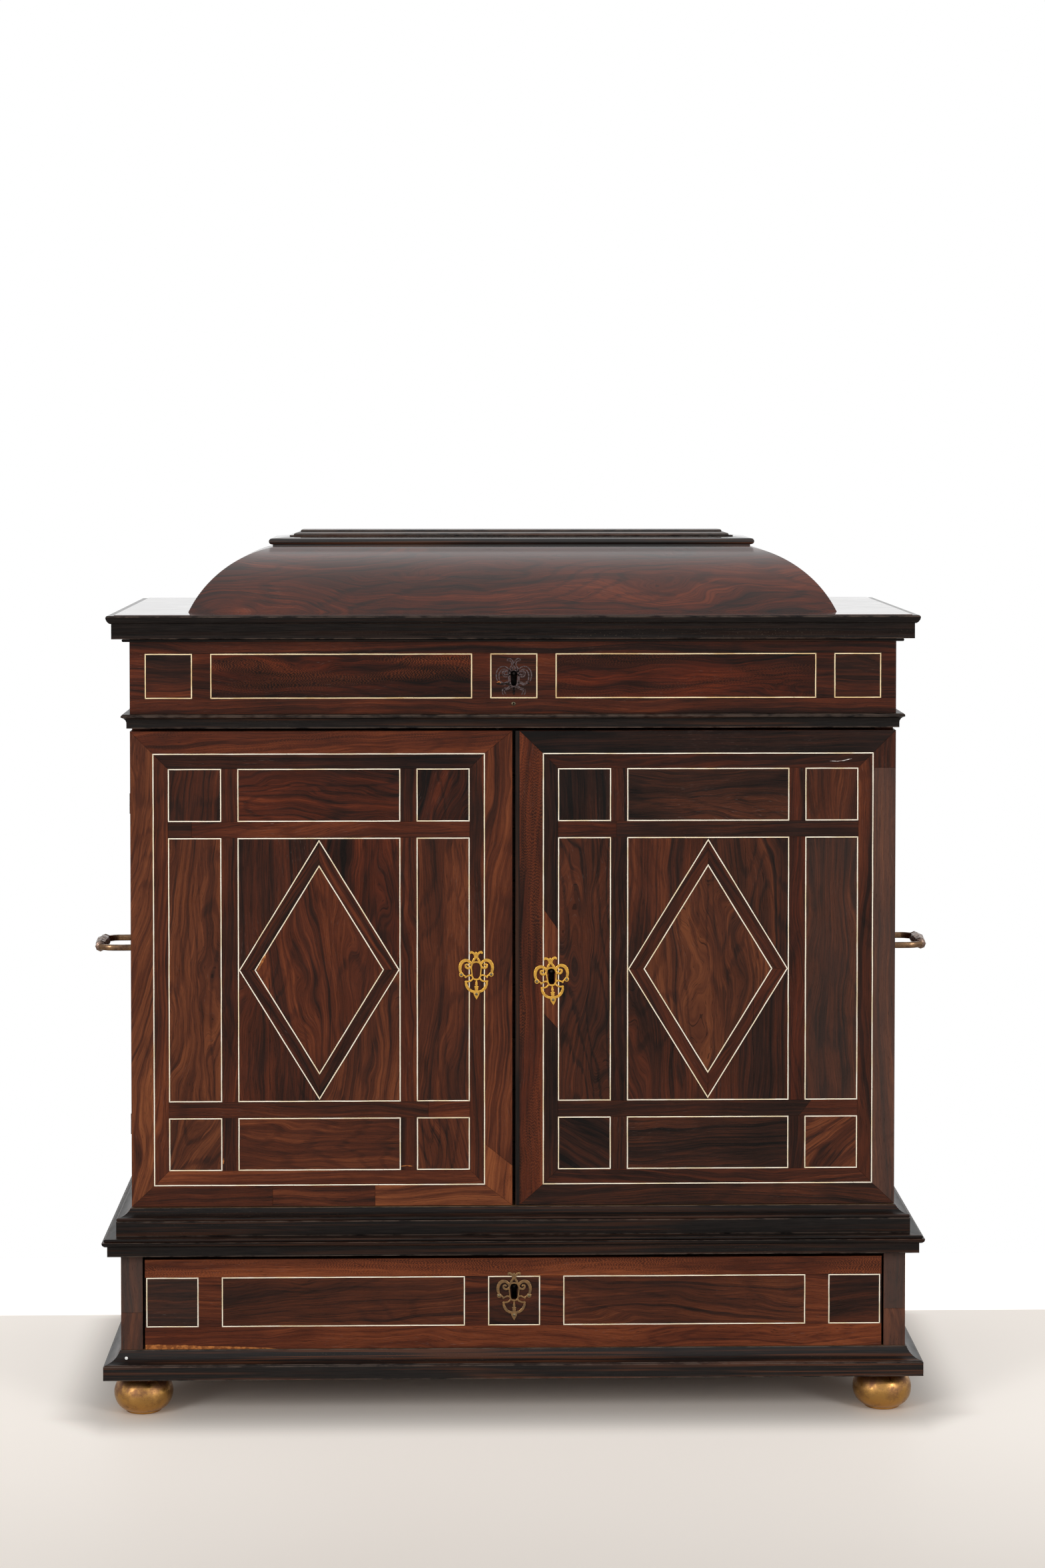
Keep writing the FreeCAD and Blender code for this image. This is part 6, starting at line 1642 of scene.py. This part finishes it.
for x, z, radius in ((14.5, 719.6, 0.9), (-14.6, 719.8, 1.0), (-0.3, 699.6, 0.8)):
    rim = [(radius * math.cos(t), radius * math.sin(t)) for t in (k * math.pi / 6 for k in range(12))]
    holes.add([(x + a, SKIN - 0.05, z + b) for a, b in rim], [list(range(12))])
holes.build("frieze_pin_holes", split_dark, "case", "rosewood")
chip = Pile()
ribbon(chip, [(-16.8, 720.6), (-14.6, 721.2), (-12.8, 720.2)], 1.8, SKIN - 0.04, 23, 0.3)
chip.build("frieze_chip", bare_wood, "case", "rosewood")
eyelet = Pile()
turned(eyelet, [(0.9, 0.1), (1.2, 0.55), (1.7, 0.5), (2.0, 0.1)], (-0.3, FACE - PROUD, 699.6), "Y", 24, -1)
eyelet.faces = [f for f in eyelet.faces if len(f) == 4]
eyelet.build("frieze_eyelet", pin_brass, "case", "brass", [], 60)
print("ghost:", len(ghost.faces), "faces")

# %% [markdown]
# ## Studio
# The cabinet stands on a plain pale floor before a white wall, with a large soft light in
# front on each side. The wall is only there for what looks at it: the camera and
# reflections see white, and other light passes through it, so the cabinet's back is lit too.
# It stands far enough back for the open lid. From just behind the cabinet the floor shows
# white to the camera, and beyond the wall it fades back to its own colour. In front and to
# the sides the floor also glows to the camera, more towards the wall: painted light, as if
# bounced off the wall. The glow fades out near the cabinet's foot, so the floor darkens
# towards it, where the real shadow falls.


# %% Build the studio
def plane(name, corners, material):
    mesh = bpy.data.meshes.new(name)
    mesh.from_pydata(corners, [], [list(range(len(corners)))])
    mesh.materials.append(material)
    made = put(name, mesh)
    made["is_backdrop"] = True


def seen(tree):
    """One for rays that show the background: from the camera, off gloss and through glass."""
    path = add(tree, "ShaderNodeLightPath").outputs
    shown = plus(tree, path["Is Camera Ray"], path["Is Glossy Ray"])
    return plus(tree, shown, path["Is Transmission Ray"], clamp=True)


WALL, WHITE_FROM, FADE, AMBIENT = 0.42, 0.188, 1.4, 0.55
floor_material, tree, shader = new_material("pale_floor")
place = object_place(tree)
cloud = window(tree, lumps(tree, place, 1.3, 3.0), 0.35, 0.65)
cream = between(tree, cloud, (0.725, 0.668, 0.612, 1), (0.750, 0.698, 0.645, 1))
tree.links.new(cream, shader.inputs["Base Color"])
parts = add(tree, "ShaderNodeSeparateXYZ", {0: place}).outputs
# Painted light: a glow seen only by the camera, stronger towards the wall, fading out near the footprint.
aside = minus(tree, maths(tree, "ABSOLUTE", parts[0]), 0.40)
before = minus(tree, maths(tree, "ABSOLUTE", parts[1]), 0.17)
apart = plus(tree, maths(tree, "MAXIMUM", aside, 0.0), maths(tree, "MAXIMUM", before, 0.0))
from_middle = maths(tree, "ABSOLUTE", plus(tree, parts[1], 1.05))
painted_floor_glow = times(tree, window(tree, apart, 0.0, 0.07), window(tree, from_middle, 0.0, 1.05, 0.0, 0.37))
strip = maths(tree, "GREATER_THAN", parts[1], WHITE_FROM)
strip = times(tree, strip, window(tree, parts[1], WALL, WALL + FADE, 1.0, 0.0))
painted_floor_glow = maths(tree, "MAXIMUM", painted_floor_glow, strip)
tree.links.new(times(tree, painted_floor_glow, add(tree, "ShaderNodeLightPath").outputs["Is Camera Ray"]),
               shader.inputs["Emission Strength"])
shader.inputs["Emission Color"].default_value = (1.0, 0.95, 0.89, 1)
shader.inputs["Roughness"].default_value = 0.55
shader.inputs["Specular IOR Level"].default_value = 0.2
plane("floor", [(-8, -8, 0), (8, -8, 0), (8, 8, 0), (-8, 8, 0)], floor_material)

wall_material = bpy.data.materials.new("white_wall")
wall_material.use_nodes = True
tree = wall_material.node_tree
tree.nodes.clear()
white = add(tree, "ShaderNodeEmission", {"Color": (1, 1, 1, 1), "Strength": 1.0}).outputs[0]
clear = add(tree, "ShaderNodeBsdfTransparent").outputs[0]
behind = add(tree, "ShaderNodeNewGeometry").outputs["Backfacing"]
share = times(tree, seen(tree), minus(tree, 1.0, behind))
mixed = add(tree, "ShaderNodeMixShader", {0: share, 1: clear, 2: white}).outputs[0]
tree.links.new(mixed, add(tree, "ShaderNodeOutputMaterial").inputs["Surface"])
plane("wall", [(-8, WALL, 0), (8, WALL, 0), (8, WALL, 6), (-8, WALL, 6)], wall_material)

world = bpy.data.worlds.new("studio")
world.use_nodes = True
tree = world.node_tree
light = tree.nodes["Background"]
strength = plus(tree, times(tree, seen(tree), 1.0 - AMBIENT), AMBIENT)
tree.links.new(strength, light.inputs["Strength"])
light.inputs["Color"].default_value = (1, 1, 1, 1)
bpy.context.scene.world = world
for name, side, power in (("lamp_left", -1, 44), ("lamp_right", 1, 40)):
    lamp = bpy.data.lights.new(name, "AREA")
    lamp.shape, lamp.size, lamp.size_y, lamp.energy = "RECTANGLE", 1.0, 1.4, power
    holder = put(name, lamp)
    holder.location = (side * 2.3, -2.5, 1.5)
    aim(holder, Vector((0, 0, 0.45)) - holder.location)
print("studio: floor, wall, two lamps and a pale world")

# %% [markdown]
# ## Measure and finish
# The dressed cabinet must stay inside the box that the frame measured, so both boxes are
# printed side by side.

# %% Print both boxes
made_low, made_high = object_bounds()
sizes = {"cad": [list(cad_low), list(cad_high)], "visual": [list(made_low), list(made_high)]}
print("frame box", sizes["cad"])
print("dressed box", sizes["visual"])
